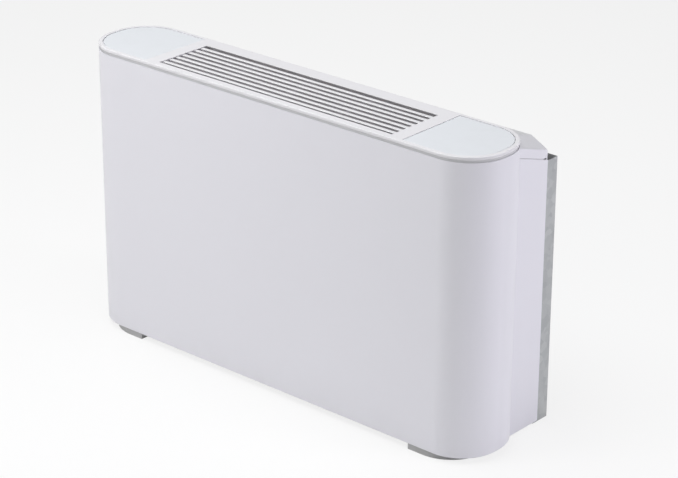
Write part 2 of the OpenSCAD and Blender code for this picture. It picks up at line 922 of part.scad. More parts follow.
module coil_tubes() {
  color("peru") in_coil() cross_prism(2 * bend_x) tube_places() circle(tube_r);
}

// Half-round bends that join the two rows at the right-hand end
module return_bends() {
  color("peru") in_coil() for (y = tube_ys) translate([bend_x, y, 0]) rotate([90, 0, 0])
    rotate(-90) rotate_extrude(angle = 180) translate([row_dz / 2, 0]) circle(tube_r);
}

module coil_end_sheets() {
  color("lightsteelblue") both_sides() in_coil() cross_sheet(chassis_in_x - sheet_t, sheet_t) difference() {
    square([coil_l + 2 * sheet_margin, coil_t + 2 * sheet_margin], center = true);
    tube_places() circle(tube_r + fit_gap);
  }
}

// A collector across one row of tubes, with its side branch and threaded socket
module header(row, s) {
  color("peru") mirror([1, 0, 0]) in_coil() translate([0, 0, row * row_dz / 2]) difference() {
    union() {
      translate([header_x, 0, 0]) rotate([90, 0, 0]) cylinder(r = header_r, h = header_l, center = true);
      for (y = tube_ys) translate([bend_x, y, 0]) along_x() cylinder(r = tube_r, h = header_x - bend_x);
      translate([header_x, s, 0]) along_x() cylinder(r = branch_r, h = socket_x - header_x + over);
      translate([socket_x, s, 0]) along_x() cylinder(r = socket_r, h = socket_l);
    }
    translate([socket_x + socket_l - socket_depth, s, 0]) along_x()
      cylinder(r = socket_bore_r, h = socket_depth + over);
  }
}

module supply_header() {
  header(-1, -supply_s);
}

module return_header() {
  header(1, return_s);
}

// A bleed valve on the top end of each collector
module air_vents() {
  color("goldenrod") for (row = [-1, 1]) in_coil()
    translate([-header_x, header_l / 2, row * row_dz / 2]) rotate([-90, 0, 0]) difference() {
      union() {
        cylinder(r = vent_r, h = vent_l);
        translate([0, 0, 3]) cylinder(r = vent_cap_r, h = vent_l - 5, $fn = 6);
      }
      translate([-vent_r - over, -0.5, vent_l - 1.2]) cube([2 * (vent_r + over), 1, 1.2 + over]);
    }
}

// The condensate tray under the coil's lower end, closed at both ends
module drain_pan() {
  color("darkslategray") difference() {
    cross_prism(2 * pan_x) polygon([[pan_y0, deck_top_z], [pan_y1, deck_top_z], [pan_y1, pan_rear_z],
      [pan_y1 - pan_t, pan_rear_z], [pan_y0 + pan_t, pan_front_z], [pan_y0, pan_front_z]]);
    cross_prism(2 * (pan_x - pan_t)) polygon([[pan_y0 + pan_t, deck_top_z + pan_t], [pan_y1 - pan_t,
      deck_top_z + pan_t], [pan_y1 - pan_t, pan_front_z + over], [pan_y0 + pan_t, pan_front_z + over]]);
    translate([-pan_x - over, spout_y, spout_z]) along_x() cylinder(r = spout_r - 2, h = pan_t + 2 * over);
  }
}

module drain_spout() {
  color("darkslategray") translate([-pan_x, spout_y, spout_z]) rotate([0, -90, 0]) difference() {
    union() {
      cylinder(r = spout_flange_r, h = 2);
      cylinder(r = spout_step_r, h = spout_step_l);
      cylinder(r = spout_r, h = spout_l);
    }
    translate([0, 0, -over]) cylinder(r = spout_r - 2, h = spout_l + 2 * over);
  }
}

// The filter

module filter_rails() {
  x = chassis_in_x - rail_t;
  color("lightsteelblue") both_sides() translate([0, rail_y0, rail_z]) {
    translate([x, 0, 0]) cube([rail_t, rail_y1 - rail_y0, rail_h]);
    for (z = [0, filter_t + rail_lip_t + 2 * touch_gap])
      translate([x - rail_lip, 0, z]) cube([rail_lip, rail_y1 - rail_y0, rail_lip_t]);
  }
}

module filter_window(inset) {
  bar = 6;
  cell = (filter_w - 2 * filter_border - 2 * bar) / 3;
  for (i = [0 : 2])
    translate([-filter_w / 2 + filter_border + i * (cell + bar) + inset, filter_y0 + filter_border + inset])
      square([cell - 2 * inset, filter_y1 - filter_y0 - 2 * filter_border - 2 * inset]);
}

module filter_frame() {
  color("dimgray") translate([0, 0, filter_z]) difference() {
    linear_extrude(filter_t) difference() {
      translate([-filter_w / 2, filter_y0]) square([filter_w, filter_y1 - filter_y0]);
      filter_window(0);
    }
    for (x = [-1, 1]) translate([x * filter_w / 4, filter_y0, -over]) difference() {
      cylinder(r = tab_r, h = filter_t + 2 * over);
      translate([-tab_r, 4, 0]) cube([2 * tab_r, tab_r, filter_t + 2 * over]);
    }
  }
}

module filter_media() {
  color("darkslategray") translate([0, 0, filter_z + (filter_t - media_t) / 2])
    linear_extrude(media_t) filter_window(0);
}

// The controls under the right-hand lid

module box_plan(inset) {
  translate([box_x + inset, casing_y - box_w / 2 + inset]) square([box_l - 2 * inset, box_w - 2 * inset]);
}

module electric_box() {
  color("lightsteelblue") difference() {
    translate([0, 0, box_z]) linear_extrude(box_h) box_plan(0);
    translate([0, 0, box_z + sheet_t]) linear_extrude(box_h) box_plan(sheet_t);
    translate([control_x, casing_y, box_z - over]) cylinder(r = grommet_bore_r, h = sheet_t + 2 * over);
  }
}

// A folded bracket that stands the box off the end plate
module box_bracket() {
  color("lightsteelblue") translate([chassis_x, bracket_y, bracket_z]) {
    cube([sheet_t, bracket_w, bracket_h]);
    cube([box_x - chassis_x, bracket_w, sheet_t]);
    translate([box_x - chassis_x - sheet_t, 0, 0]) cube([sheet_t, bracket_w, bracket_h]);
  }
}

module terminal_block() {
  ways = 6;
  size = [terminal_w, ways * terminal_pitch + 4, terminal_h];
  color("ivory") translate([box_x + sheet_t + 3, casing_y - size[1] / 2, box_z + sheet_t]) difference() {
    cube(size);
    for (i = [0 : ways - 1]) translate([size[0] / 2, 2 + (i + 0.5) * terminal_pitch, 6]) cylinder(r = 2.6, h = size[2]);
  }
}

module capacitor() {
  color("silver") translate([box_x + box_l - sheet_t - can_r - 4, casing_y + can_dy, box_z + sheet_t])
    rotate_extrude() polygon([[0, 0], [can_r, 0], [can_r, can_h - 3], [can_r - 3, can_h], [3, can_h],
      [3, can_h + 7], [0, can_h + 7]]);
}

module control_plate() {
  lip = control_over;
  color("gray") difference() {
    union() {
      translate([0, 0, box_top_z]) linear_extrude(control_t) translate([control_x, casing_y])
        rounded_rect(box_l + 2 * lip, box_w + 2 * lip, 5);
      translate([0, 0, box_top_z - 4]) linear_extrude(4) difference() {
        box_plan(sheet_t + touch_gap);
        box_plan(sheet_t + touch_gap + 2);
      }
    }
    for (at = [thermostat_at, speed_at]) translate([at[0], at[1], box_top_z - over])
      cylinder(r = stem_r + stem_gap, h = control_t + 2 * over);
    translate([switch_at[0] - switch_r - 0.4, switch_at[1] - switch_w / 2 - 0.4, box_top_z - over])
      cube([2 * switch_r + 0.8, switch_w + 0.8, control_t + 2 * over]);
    translate([switch_at[0], switch_at[1], control_top_z - switch_sink]) rotate([90, 0, 0])
      cylinder(r = switch_pin_r + 0.1, h = switch_w + 6, center = true);
  }
}

// A moulded knob: a fluted grip on a round skirt, with a pointer rib and a stem through the plate
module knob(at, r) {
  flutes = 14;
  skirt = 3;
  color("whitesmoke") translate([at[0], at[1], control_top_z + touch_gap]) {
    cylinder(r = r, h = skirt);
    linear_extrude(knob_h) difference() {
      circle(r - 2);
      for (i = [0 : flutes - 1]) rotate((i + 0.5) * 360 / flutes) translate([r - 1.4, 0]) circle(1.4);
    }
    translate([-0.8, 2, knob_h - 0.5]) cube([1.6, r - 5.5, 1.3]);
    translate([0, 0, -stem_l]) cylinder(r = stem_r, h = stem_l + over);
  }
}

module thermostat_knob() {
  knob(thermostat_at, thermostat_r);
}

module speed_knob() {
  knob(speed_at, speed_r);
}

// A rocker: a barrel sector with two sloping finger faces, resting on one side
module season_switch() {
  color("dimgray") translate([switch_at[0], switch_at[1], control_top_z - switch_sink])
    rotate([0, switch_tilt, 0]) rotate([90, 0, 0]) {
      linear_extrude(switch_w, center = true) intersection() {
        circle(switch_r);
        polygon([[-switch_r, -6], [switch_r, -6], [switch_r, 5], [0, 3.4], [-switch_r, 5]]);
      }
      cylinder(r = switch_pin_r, h = switch_w + 5, center = true);
    }
}

front_panel();
top_cover();
outlet_grille();
left_lid();
right_lid();
left_foot();
right_foot();
left_rear_side();
right_rear_side();
rear_hood();
back_plate();
left_end_plate();
right_end_plate();
fan_deck();
left_scroll();
right_scroll();
left_impeller();
right_impeller();
motor();
motor_bearings();
motor_shaft();
motor_cradle();
motor_mounts();
coil_fins();
coil_tubes();
return_bends();
coil_end_sheets();
supply_header();
return_header();
air_vents();
drain_pan();
drain_spout();
filter_rails();
filter_frame();
filter_media();
electric_box();
box_bracket();
terminal_block();
capacitor();
control_plate();
thermostat_knob();
speed_knob();
season_switch();
cable_grommet();
casing_screws();
hood_screws();
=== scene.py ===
import math

import bmesh
import bpy
from mathutils import Matrix, Vector


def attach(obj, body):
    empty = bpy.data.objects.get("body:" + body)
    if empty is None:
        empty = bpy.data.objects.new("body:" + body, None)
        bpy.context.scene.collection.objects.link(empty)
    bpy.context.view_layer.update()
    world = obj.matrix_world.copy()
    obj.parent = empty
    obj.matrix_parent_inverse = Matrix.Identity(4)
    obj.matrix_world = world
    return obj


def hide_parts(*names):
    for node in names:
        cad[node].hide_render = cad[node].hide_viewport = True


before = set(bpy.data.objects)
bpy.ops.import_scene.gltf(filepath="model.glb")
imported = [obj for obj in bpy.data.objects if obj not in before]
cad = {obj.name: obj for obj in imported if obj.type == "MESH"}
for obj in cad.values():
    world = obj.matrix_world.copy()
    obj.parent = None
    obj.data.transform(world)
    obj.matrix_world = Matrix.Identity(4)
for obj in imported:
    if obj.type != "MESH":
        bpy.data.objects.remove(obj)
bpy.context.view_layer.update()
mm = 0.001
past = 5  # how far a cutter runs beyond what it cuts, in mm
near = 0.06  # how close to an outline counts as on it, in mm
print("frame loaded:", len(cad), "nodes")


# hand tools: each selects what it works on, after everything else is deselected

def dropPick():
    if bpy.context.mode != "OBJECT":
        bpy.ops.object.mode_set(mode="OBJECT")
    bpy.ops.object.select_all(action="DESELECT")


def takeUp(piece):
    dropPick()
    piece.select_set(True)
    bpy.context.view_layer.objects.active = piece


def settle(name):
    piece = bpy.context.object
    piece.name = name
    piece.data.name = name
    bpy.ops.object.transform_apply(location=True, rotation=True, scale=True)
    return piece


def addBlock(name, low, high):  # corners in mm
    dropPick()
    middle = [(a + b) / 2 * mm for a, b in zip(low, high)]
    bpy.ops.mesh.primitive_cube_add(size=1, location=middle)
    bpy.context.object.scale = [(b - a) * mm for a, b in zip(low, high)]
    return settle(name)


def addRod(name, at, radius, length, along="Z", steps=48):  # centred on at, in mm
    dropPick()
    turn = {"X": (0, math.pi / 2, 0), "Y": (math.pi / 2, 0, 0), "Z": (0, 0, 0)}[along]
    bpy.ops.mesh.primitive_cylinder_add(vertices=steps, radius=radius * mm, depth=length * mm,
                                        location=[v * mm for v in at], rotation=turn)
    return settle(name)


def pick(piece, kind, test):  # kind is VERT, EDGE or FACE
    takeUp(piece)
    bpy.ops.object.mode_set(mode="EDIT")
    bpy.ops.mesh.select_mode(type=kind)
    bpy.ops.mesh.select_all(action="DESELECT")
    shape = bmesh.from_edit_mesh(piece.data)
    for part in {"VERT": shape.verts, "EDGE": shape.edges, "FACE": shape.faces}[kind]:
        if test(part):
            part.select_set(True)
    shape.select_flush_mode()
    bmesh.update_edit_mesh(piece.data)


def upright(edge):
    a, b = edge.verts
    return (a.co.xy - b.co.xy).length < 1e-6


def edgeAt(z):  # edges that lie level at height z, in mm
    return lambda edge: all(abs(v.co.z - z * mm) < 1e-5 for v in edge.verts)


def fold(limit):  # edges whose two faces meet at more than limit degrees
    def test(edge):
        return len(edge.link_faces) == 2 and edge.calc_face_angle(0) > math.radians(limit)
    return test


def roundPicked(radius, steps):
    bpy.ops.mesh.bevel(offset=radius * mm, segments=steps, profile=0.5, affect="EDGES")
    dropPick()


def roundUprights(piece, radius, steps, test=lambda e: True):
    pick(piece, "EDGE", lambda e: upright(e) and test(e))
    roundPicked(radius, steps)


def deleteFaces(piece, test):
    pick(piece, "FACE", test)
    bpy.ops.mesh.delete(type="FACE")
    dropPick()


def sliceAt(piece, point, normal, **how):
    pick(piece, "FACE", lambda f: True)
    bpy.ops.mesh.bisect(plane_co=[v * mm for v in point], plane_no=normal, **how)
    dropPick()


def applyMod(piece, kind, **values):
    takeUp(piece)
    mod = piece.modifiers.new("step", kind)
    for key, value in values.items():
        setattr(mod, key, value)
    bpy.ops.object.modifier_apply(modifier=mod.name)


def combine(piece, tool, how="DIFFERENCE"):
    applyMod(piece, "BOOLEAN", object=tool, operation=how, solver="EXACT")
    bpy.data.objects.remove(tool, do_unlink=True)


def joinUp(piece, others):
    dropPick()
    for other in others:
        other.select_set(True)
    piece.select_set(True)
    bpy.context.view_layer.objects.active = piece
    bpy.ops.object.join()


def twin(piece, name):  # a copy with its own mesh
    takeUp(piece)
    bpy.ops.object.duplicate(linked=False)
    copy = bpy.context.object
    copy.name = name
    copy.data.name = name
    return copy


def placeAt(piece, spot, turn=(0, 0, 0)):  # spot in mm, turn in degrees
    takeUp(piece)
    piece.location = [v * mm for v in spot]
    piece.rotation_euler = [math.radians(a) for a in turn]
    bpy.ops.object.transform_apply(location=True, rotation=True, scale=True)


def flipSide(piece):  # mirrored across x = 0
    takeUp(piece)
    piece.scale.x = -1
    bpy.ops.object.transform_apply(location=True, rotation=True, scale=True)
    pick(piece, "FACE", lambda f: True)
    bpy.ops.mesh.normals_make_consistent(inside=False)
    dropPick()


def soften(piece, width, steps=2, angle=40):
    applyMod(piece, "BEVEL", width=width * mm, segments=steps, limit_method="ANGLE",
             angle_limit=math.radians(angle), use_clamp_overlap=True)


def smoothOff(piece, angle=35):
    takeUp(piece)
    bpy.ops.object.shade_smooth_by_angle(angle=math.radians(angle))
    applyMod(piece, "WEIGHTED_NORMAL", weight=80, keep_sharp=True)


def dress(piece, material, body, slot, *nodes):
    piece.data.materials.clear()
    piece.data.materials.append(material)
    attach(piece, body)
    if nodes:
        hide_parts(*nodes)
    return piece


# camera

view = {"yaw": 41.043, "pitch": 23.441, "roll": 0.257, "focalPixels": 2384.7, "away": 3.8032,
        "across": -0.0640, "rise": -0.2188, "pivot": (0, -0.040, 0), "pictureWide": 678, "sensor": 36}


def placeCamera():
    yaw, pitch, roll = (math.radians(view[k]) for k in ("yaw", "pitch", "roll"))
    level = Vector((-math.sin(yaw), math.cos(yaw), 0))
    side = Vector((math.cos(yaw), math.sin(yaw), 0))
    plumb = Vector((0, 0, 1))
    ahead = math.cos(pitch) * level - math.sin(pitch) * plumb
    top = math.sin(pitch) * level + math.cos(pitch) * plumb
    right = math.cos(roll) * side + math.sin(roll) * top
    up = math.cos(roll) * top - math.sin(roll) * side
    spot = Vector(view["pivot"]) - view["across"] * right - view["rise"] * up - view["away"] * ahead
    lens = bpy.data.cameras.new("camera")
    lens.sensor_width = view["sensor"]
    lens.lens = view["focalPixels"] * view["sensor"] / view["pictureWide"]
    lens.clip_end = 50
    camera = bpy.data.objects.new("camera", lens)
    camera.matrix_world = Matrix((right, up, -ahead)).transposed().to_4x4()
    camera.matrix_world.translation = spot
    bpy.context.scene.collection.objects.link(camera)
    bpy.context.scene.camera = camera


placeCamera()
print("camera placed")


# node groups: effects that several finishes share

mixA, mixB, mixOut = 6, 7, 2  # the colour sockets of a Mix node


def newGroup(name, takes, gives):
    group = bpy.data.node_groups.new(name, "ShaderNodeTree")
    for label, kind, value in takes:
        socket = group.interface.new_socket(label, in_out="INPUT", socket_type="NodeSocket" + kind)
        socket.default_value = value
    for label, kind in gives:
        group.interface.new_socket(label, in_out="OUTPUT", socket_type="NodeSocket" + kind)
    return group, group.nodes.new("NodeGroupInput"), group.nodes.new("NodeGroupOutput")


def addNode(tree, kind, values=None, **settings):
    node = tree.nodes.new("ShaderNode" + kind)
    for key, value in settings.items():
        setattr(node, key, value)
    for key, value in (values or {}).items():
        node.inputs[key].default_value = value
    return node


def wire(tree, *pairs):
    for out, into in pairs:
        tree.links.new(out, into)


def spread(tree, source, low, high, span=(0.3, 0.7)):  # a noise value brought to a range
    node = addNode(tree, "MapRange", {"From Min": span[0], "From Max": span[1],
                                      "To Min": low, "To Max": high})
    wire(tree, (source, node.inputs["Value"]))
    return node


def makeCoatGrain():  # fine peel of a coat or moulding, with patches of more and less gloss
    tree, take, give = newGroup("coatGrain", [("Scale", "Float", 700), ("Roughness", "Float", 0.4),
                                              ("Patch", "Float", 0.05)],
                                [("Height", "Float"), ("Roughness", "Float")])
    where = addNode(tree, "TexCoord")
    fine = addNode(tree, "TexNoise", {"Detail": 2.0, "Roughness": 0.55})
    broad = addNode(tree, "TexNoise", {"Scale": 11.0, "Detail": 3.0})
    centred = addNode(tree, "Math", {1: 0.5}, operation="SUBTRACT")
    scaled = addNode(tree, "Math", operation="MULTIPLY")
    total = addNode(tree, "Math", operation="ADD")
    wire(tree, (where.outputs["Object"], fine.inputs["Vector"]),
         (where.outputs["Object"], broad.inputs["Vector"]),
         (take.outputs["Scale"], fine.inputs["Scale"]), (fine.outputs["Fac"], give.inputs["Height"]),
         (broad.outputs["Fac"], centred.inputs[0]), (centred.outputs[0], scaled.inputs[0]),
         (take.outputs["Patch"], scaled.inputs[1]), (scaled.outputs[0], total.inputs[0]),
         (take.outputs["Roughness"], total.inputs[1]), (total.outputs[0], give.inputs["Roughness"]))
    return tree


def makeToneDrift():  # a slow wander in brightness over a large face
    tree, take, give = newGroup("toneDrift", [("Color", "Color", (0.8, 0.8, 0.8, 1)),
                                              ("Amount", "Float", 0.03), ("Scale", "Float", 4.0)],
                                [("Color", "Color")])
    where = addNode(tree, "TexCoord")
    noise = addNode(tree, "TexNoise", {"Detail": 4.0, "Roughness": 0.6})
    centred = addNode(tree, "Math", {1: 0.5}, operation="SUBTRACT")
    scaled = addNode(tree, "Math", operation="MULTIPLY_ADD")
    scaled.inputs[2].default_value = 1
    tone = addNode(tree, "HueSaturation")
    wire(tree, (where.outputs["Object"], noise.inputs["Vector"]),
         (take.outputs["Scale"], noise.inputs["Scale"]),
         (noise.outputs["Fac"], centred.inputs[0]), (centred.outputs[0], scaled.inputs[0]),
         (take.outputs["Amount"], scaled.inputs[1]), (scaled.outputs[0], tone.inputs["Value"]),
         (take.outputs["Color"], tone.inputs["Color"]), (tone.outputs["Color"], give.inputs["Color"]))
    return tree


def makeDustFall():  # dust that settles on faces that look up, and grime along the floor
    tree, take, give = newGroup("dustFall", [("Color", "Color", (0.8, 0.8, 0.8, 1)),
                                             ("Top", "Float", 0.05), ("Foot", "Float", 0.1)],
                                [("Color", "Color"), ("Mask", "Float")])
    where = addNode(tree, "TexCoord")
    facing = addNode(tree, "NewGeometry")
    axes = addNode(tree, "SeparateXYZ")
    place = addNode(tree, "SeparateXYZ")
    noise = addNode(tree, "TexNoise", {"Scale": 38.0, "Detail": 6.0, "Roughness": 0.65})
    up = spread(tree, axes.outputs["Z"], 0, 1, (0.4, 1.0))
    low = spread(tree, place.outputs["Z"], 1, 0, (0.0, 0.05))
    patchy = spread(tree, noise.outputs["Fac"], 0, 1, (0.42, 0.72))
    upPart = addNode(tree, "Math", operation="MULTIPLY")
    lowPart = addNode(tree, "Math", operation="MULTIPLY_ADD")
    mask = addNode(tree, "Math", operation="MULTIPLY", use_clamp=True)
    mix = addNode(tree, "Mix", data_type="RGBA")
    mix.inputs[mixB].default_value = (0.30, 0.28, 0.25, 1)
    wire(tree, (where.outputs["Object"], noise.inputs["Vector"]),
         (where.outputs["Object"], place.inputs["Vector"]), (facing.outputs["Normal"], axes.inputs["Vector"]),
         (up.outputs["Result"], upPart.inputs[0]), (take.outputs["Top"], upPart.inputs[1]),
         (low.outputs["Result"], lowPart.inputs[0]), (take.outputs["Foot"], lowPart.inputs[1]),
         (upPart.outputs[0], lowPart.inputs[2]), (lowPart.outputs[0], mask.inputs[0]),
         (patchy.outputs["Result"], mask.inputs[1]), (mask.outputs[0], mix.inputs[0]),
         (take.outputs["Color"], mix.inputs[mixA]), (mix.outputs[mixOut], give.inputs["Color"]),
         (mask.outputs[0], give.inputs["Mask"]))
    return tree


def makeZincSpangle():  # the frosted crystals of hot-dip zinc
    tree, take, give = newGroup("zincSpangle", [("Light", "Color", (0.62, 0.64, 0.66, 1)),
                                                ("Dark", "Color", (0.44, 0.46, 0.49, 1)),
                                                ("Scale", "Float", 90)],
                                [("Color", "Color"), ("Roughness", "Float"), ("Height", "Float")])
    where = addNode(tree, "TexCoord")
    wobble = addNode(tree, "TexNoise", {"Scale": 60.0, "Detail": 2.0})
    bend = addNode(tree, "Mix", {0: 0.012}, data_type="VECTOR")  # its vector sockets are 4, 5 and 1
    cells = addNode(tree, "TexVoronoi", {"Randomness": 1.0})
    grey = addNode(tree, "RGBToBW")
    streak = addNode(tree, "TexNoise", {"Scale": 420.0, "Detail": 3.0})
    tone = addNode(tree, "MixRGB", blend_type="MIX")
    gloss = spread(tree, grey.outputs[0], 0.30, 0.52, (0.0, 1.0))
    wire(tree, (where.outputs["Object"], wobble.inputs["Vector"]),
         (where.outputs["Object"], bend.inputs[4]),
         (wobble.outputs["Color"], bend.inputs[5]), (bend.outputs[1], cells.inputs["Vector"]),
         (take.outputs["Scale"], cells.inputs["Scale"]), (cells.outputs["Color"], grey.inputs[0]),
         (grey.outputs[0], tone.inputs["Fac"]), (take.outputs["Dark"], tone.inputs["Color1"]),
         (take.outputs["Light"], tone.inputs["Color2"]), (tone.outputs[0], give.inputs["Color"]),
         (where.outputs["Object"], streak.inputs["Vector"]), (streak.outputs["Fac"], give.inputs["Height"]),
         (gloss.outputs["Result"], give.inputs["Roughness"]))
    return tree


def makeEdgeWear():  # a broken mask along sharp edges
    tree, take, give = newGroup("edgeWear", [("Width", "Float", 0.001), ("Amount", "Float", 0.6)],
                                [("Mask", "Float")])
    where = addNode(tree, "TexCoord")
    facing = addNode(tree, "NewGeometry")
    eased = addNode(tree, "Bevel", samples=4)
    same = addNode(tree, "VectorMath", operation="DOT_PRODUCT")
    noise = addNode(tree, "TexNoise", {"Scale": 260.0, "Detail": 4.0})
    edge = spread(tree, same.outputs["Value"], 1, 0, (0.80, 0.99))
    broken = spread(tree, noise.outputs["Fac"], 0, 1, (0.40, 0.62))
    both = addNode(tree, "Math", operation="MULTIPLY")
    part = addNode(tree, "Math", operation="MULTIPLY", use_clamp=True)
    wire(tree, (where.outputs["Object"], noise.inputs["Vector"]),
         (take.outputs["Width"], eased.inputs["Radius"]),
         (facing.outputs["Normal"], same.inputs[0]), (eased.outputs["Normal"], same.inputs[1]),
         (edge.outputs["Result"], both.inputs[0]), (broken.outputs["Result"], both.inputs[1]),
         (both.outputs[0], part.inputs[0]), (take.outputs["Amount"], part.inputs[1]),
         (part.outputs[0], give.inputs["Mask"]))
    return tree


coatGrain, toneDrift, dustFall = makeCoatGrain(), makeToneDrift(), makeDustFall()
zincSpangle, edgeWear = makeZincSpangle(), makeEdgeWear()


# finishes

def useGroup(tree, group, values=None):
    node = tree.nodes.new("ShaderNodeGroup")
    node.node_tree = group
    for key, value in (values or {}).items():
        node.inputs[key].default_value = value
    return node


def startFinish(name, **sockets):
    material = bpy.data.materials.new(name)
    material.use_nodes = True
    tree = material.node_tree
    shader = tree.nodes["Principled BSDF"]
    for key, value in sockets.items():
        shader.inputs[key.replace("_", " ")].default_value = value
    return material, tree, shader


def addBump(tree, shader, height, strength, depth):
    bump = addNode(tree, "Bump", {"Strength": strength, "Distance": depth * mm})
    wire(tree, (height, bump.inputs["Height"]), (bump.outputs["Normal"], shader.inputs["Normal"]))


# paint, powder coat or moulding: bare is the colour that wear lets through
def coated(name, color, roughness, grain, depth, drift=0.03, patch=0.06, top=0.02, foot=0.08, wear=0.0,
           bare=(0.5, 0.5, 0.5, 1)):
    material, tree, shader = startFinish(name)
    skin = useGroup(tree, coatGrain, {"Scale": grain, "Roughness": roughness, "Patch": patch})
    tone = useGroup(tree, toneDrift, {"Color": (*color, 1), "Amount": drift})
    dust = useGroup(tree, dustFall, {"Top": top, "Foot": foot})
    wire(tree, (tone.outputs["Color"], dust.inputs["Color"]),
         (skin.outputs["Roughness"], shader.inputs["Roughness"]))
    last = dust.outputs["Color"]
    if wear:
        rub = useGroup(tree, edgeWear, {"Amount": wear})
        mix = addNode(tree, "Mix", data_type="RGBA")
        mix.inputs[mixB].default_value = bare
        wire(tree, (rub.outputs["Mask"], mix.inputs[0]), (last, mix.inputs[mixA]))
        last = mix.outputs[mixOut]
    wire(tree, (last, shader.inputs["Base Color"]))
    addBump(tree, shader, skin.outputs["Height"], 0.5, depth)
    return material


def zincSheet(name, light, dark, scale):
    material, tree, shader = startFinish(name, Metallic=1.0)
    frost = useGroup(tree, zincSpangle, {"Light": (*light, 1), "Dark": (*dark, 1), "Scale": scale})
    tone = useGroup(tree, toneDrift, {"Amount": 0.16, "Scale": 9.0})
    dust = useGroup(tree, dustFall, {"Top": 0.25, "Foot": 0.3})
    wire(tree, (frost.outputs["Color"], tone.inputs["Color"]), (tone.outputs["Color"], dust.inputs["Color"]),
         (dust.outputs["Color"], shader.inputs["Base Color"]),
         (frost.outputs["Roughness"], shader.inputs["Roughness"]))
    addBump(tree, shader, frost.outputs["Height"], 0.25, 0.05)
    return material


def bareMetal(name, color, tarnish, roughness, amount, stretch=(1, 1, 1), lines=300, patchScale=26.0):
    material, tree, shader = startFinish(name, Metallic=1.0)
    where = addNode(tree, "TexCoord")
    turn = addNode(tree, "Mapping", {"Scale": stretch})
    brush = addNode(tree, "TexNoise", {"Scale": lines, "Detail": 3.0})
    cloud = addNode(tree, "TexNoise", {"Scale": patchScale, "Detail": 5.0, "Roughness": 0.6})
    mask = spread(tree, cloud.outputs["Fac"], 0, amount, (0.45, 0.75))
    mix = addNode(tree, "Mix", data_type="RGBA")
    mix.inputs[mixA].default_value = (*color, 1)
    mix.inputs[mixB].default_value = (*tarnish, 1)
    gloss = spread(tree, brush.outputs["Fac"], roughness - 0.08, roughness + 0.10)
    wire(tree, (where.outputs["Object"], turn.inputs["Vector"]),
         (turn.outputs["Vector"], brush.inputs["Vector"]),
         (where.outputs["Object"], cloud.inputs["Vector"]), (mask.outputs["Result"], mix.inputs[0]),
         (mix.outputs[mixOut], shader.inputs["Base Color"]),
         (gloss.outputs["Result"], shader.inputs["Roughness"]))
    addBump(tree, shader, brush.outputs["Fac"], 0.2, 0.04)
    return material


whitePaint = coated("whitePaint", (0.79, 0.782, 0.832), 0.36, 620, 0.02, drift=0.015, patch=0.05, top=0.0,
                    foot=0.06, wear=0.12, bare=(0.62, 0.62, 0.63, 1))
coverWhite = coated("coverWhite", (0.785, 0.774, 0.799), 0.42, 1500, 0.02, drift=0.02, top=0.03, foot=0.0)
lidWhite = coated("lidWhite", (0.752, 0.771, 0.806), 0.42, 1500, 0.02, drift=0.02, top=0.03, foot=0.0)
# painted shadow: a darker grey for the skirt in the gap under the cover's rim, standing in for the shade
# there
gapPaintedShadow = coated("gapPaintedShadow", (0.62, 0.62, 0.635), 0.5, 1500, 0.02, drift=0.04, top=0.0, foot=0.0)
# painted shade: the hood is the sides' white sheet, coloured greyer on its top and chamfers for the dimmer
# light there
hoodPaintedShade = coated("hoodPaintedShade", (0.66, 0.66, 0.675), 0.40, 700, 0.02, top=0.08, foot=0.0, wear=0.2,
                  bare=(0.42, 0.42, 0.43, 1))
footPlastic = coated("footPlastic", (0.45, 0.45, 0.455), 0.48, 1300, 0.04, drift=0.06, foot=0.25, wear=0.25,
                     bare=(0.44, 0.44, 0.44, 1))
fanPlastic = coated("fanPlastic", (0.035, 0.037, 0.04), 0.42, 900, 0.03, drift=0.15, top=0.2, foot=0.0)
motorPaint = coated("motorPaint", (0.19, 0.20, 0.21), 0.38, 520, 0.05, drift=0.10, top=0.2, wear=0.5)
rubberBlack = coated("rubberBlack", (0.022, 0.022, 0.023), 0.68, 800, 0.08, drift=0.2, top=0.25)
panPlastic = coated("panPlastic", (0.045, 0.046, 0.05), 0.46, 900, 0.04, drift=0.12, top=0.3)
filterPlastic = coated("filterPlastic", (0.055, 0.058, 0.062), 0.5, 1100, 0.04, drift=0.1, top=0.2,
                       wear=0.3, bare=(0.12, 0.12, 0.12, 1))
terminalPlastic = coated("terminalPlastic", (0.66, 0.63, 0.54), 0.45, 1000, 0.03, drift=0.05, top=0.15)
controlPlastic = coated("controlPlastic", (0.30, 0.31, 0.325), 0.45, 1400, 0.04, drift=0.04, top=0.08)
knobPlastic = coated("knobPlastic", (0.74, 0.745, 0.75), 0.36, 1400, 0.02, drift=0.03, top=0.05)
switchPlastic = coated("switchPlastic", (0.04, 0.042, 0.046), 0.34, 1400, 0.02, drift=0.08, top=0.1)
meshThread = coated("meshThread", (0.085, 0.09, 0.10), 0.55, 1600, 0.02, drift=0.25, top=0.3, foot=0.1)
printInk = coated("printInk", (0.72, 0.73, 0.74), 0.55, 1800, 0.01, drift=0.06, top=0.0)
zincSkin = zincSheet("zincSkin", (0.50, 0.51, 0.52), (0.36, 0.37, 0.39), 95)
steelBright = bareMetal("steelBright", (0.60, 0.60, 0.61), (0.36, 0.35, 0.34), 0.28, 0.5, (6, 1, 1), 180)
finAluminium = bareMetal("finAluminium", (0.72, 0.73, 0.75), (0.50, 0.51, 0.52), 0.34, 0.5, (1, 1, 8), 160)
copperTube = bareMetal("copperTube", (0.72, 0.36, 0.22), (0.33, 0.15, 0.09), 0.30, 0.7)
brassFitting = bareMetal("brassFitting", (0.70, 0.53, 0.27), (0.40, 0.28, 0.12), 0.32, 0.6)
print("finishes ready")


# casing: front sheet folded round both ends

casing = {"x": 400, "front": -113, "back": 33, "radius": 68, "foot": 10, "sheetTop": 480.6, "sheet": 1.2,
          "returnFold": 15.2, "lipX": 302, "foldRadius": 1.8, "burr": 0.3, "endSteps": 40}
middleY = (casing["front"] + casing["back"]) / 2
halfDeep = (casing["back"] - casing["front"]) / 2


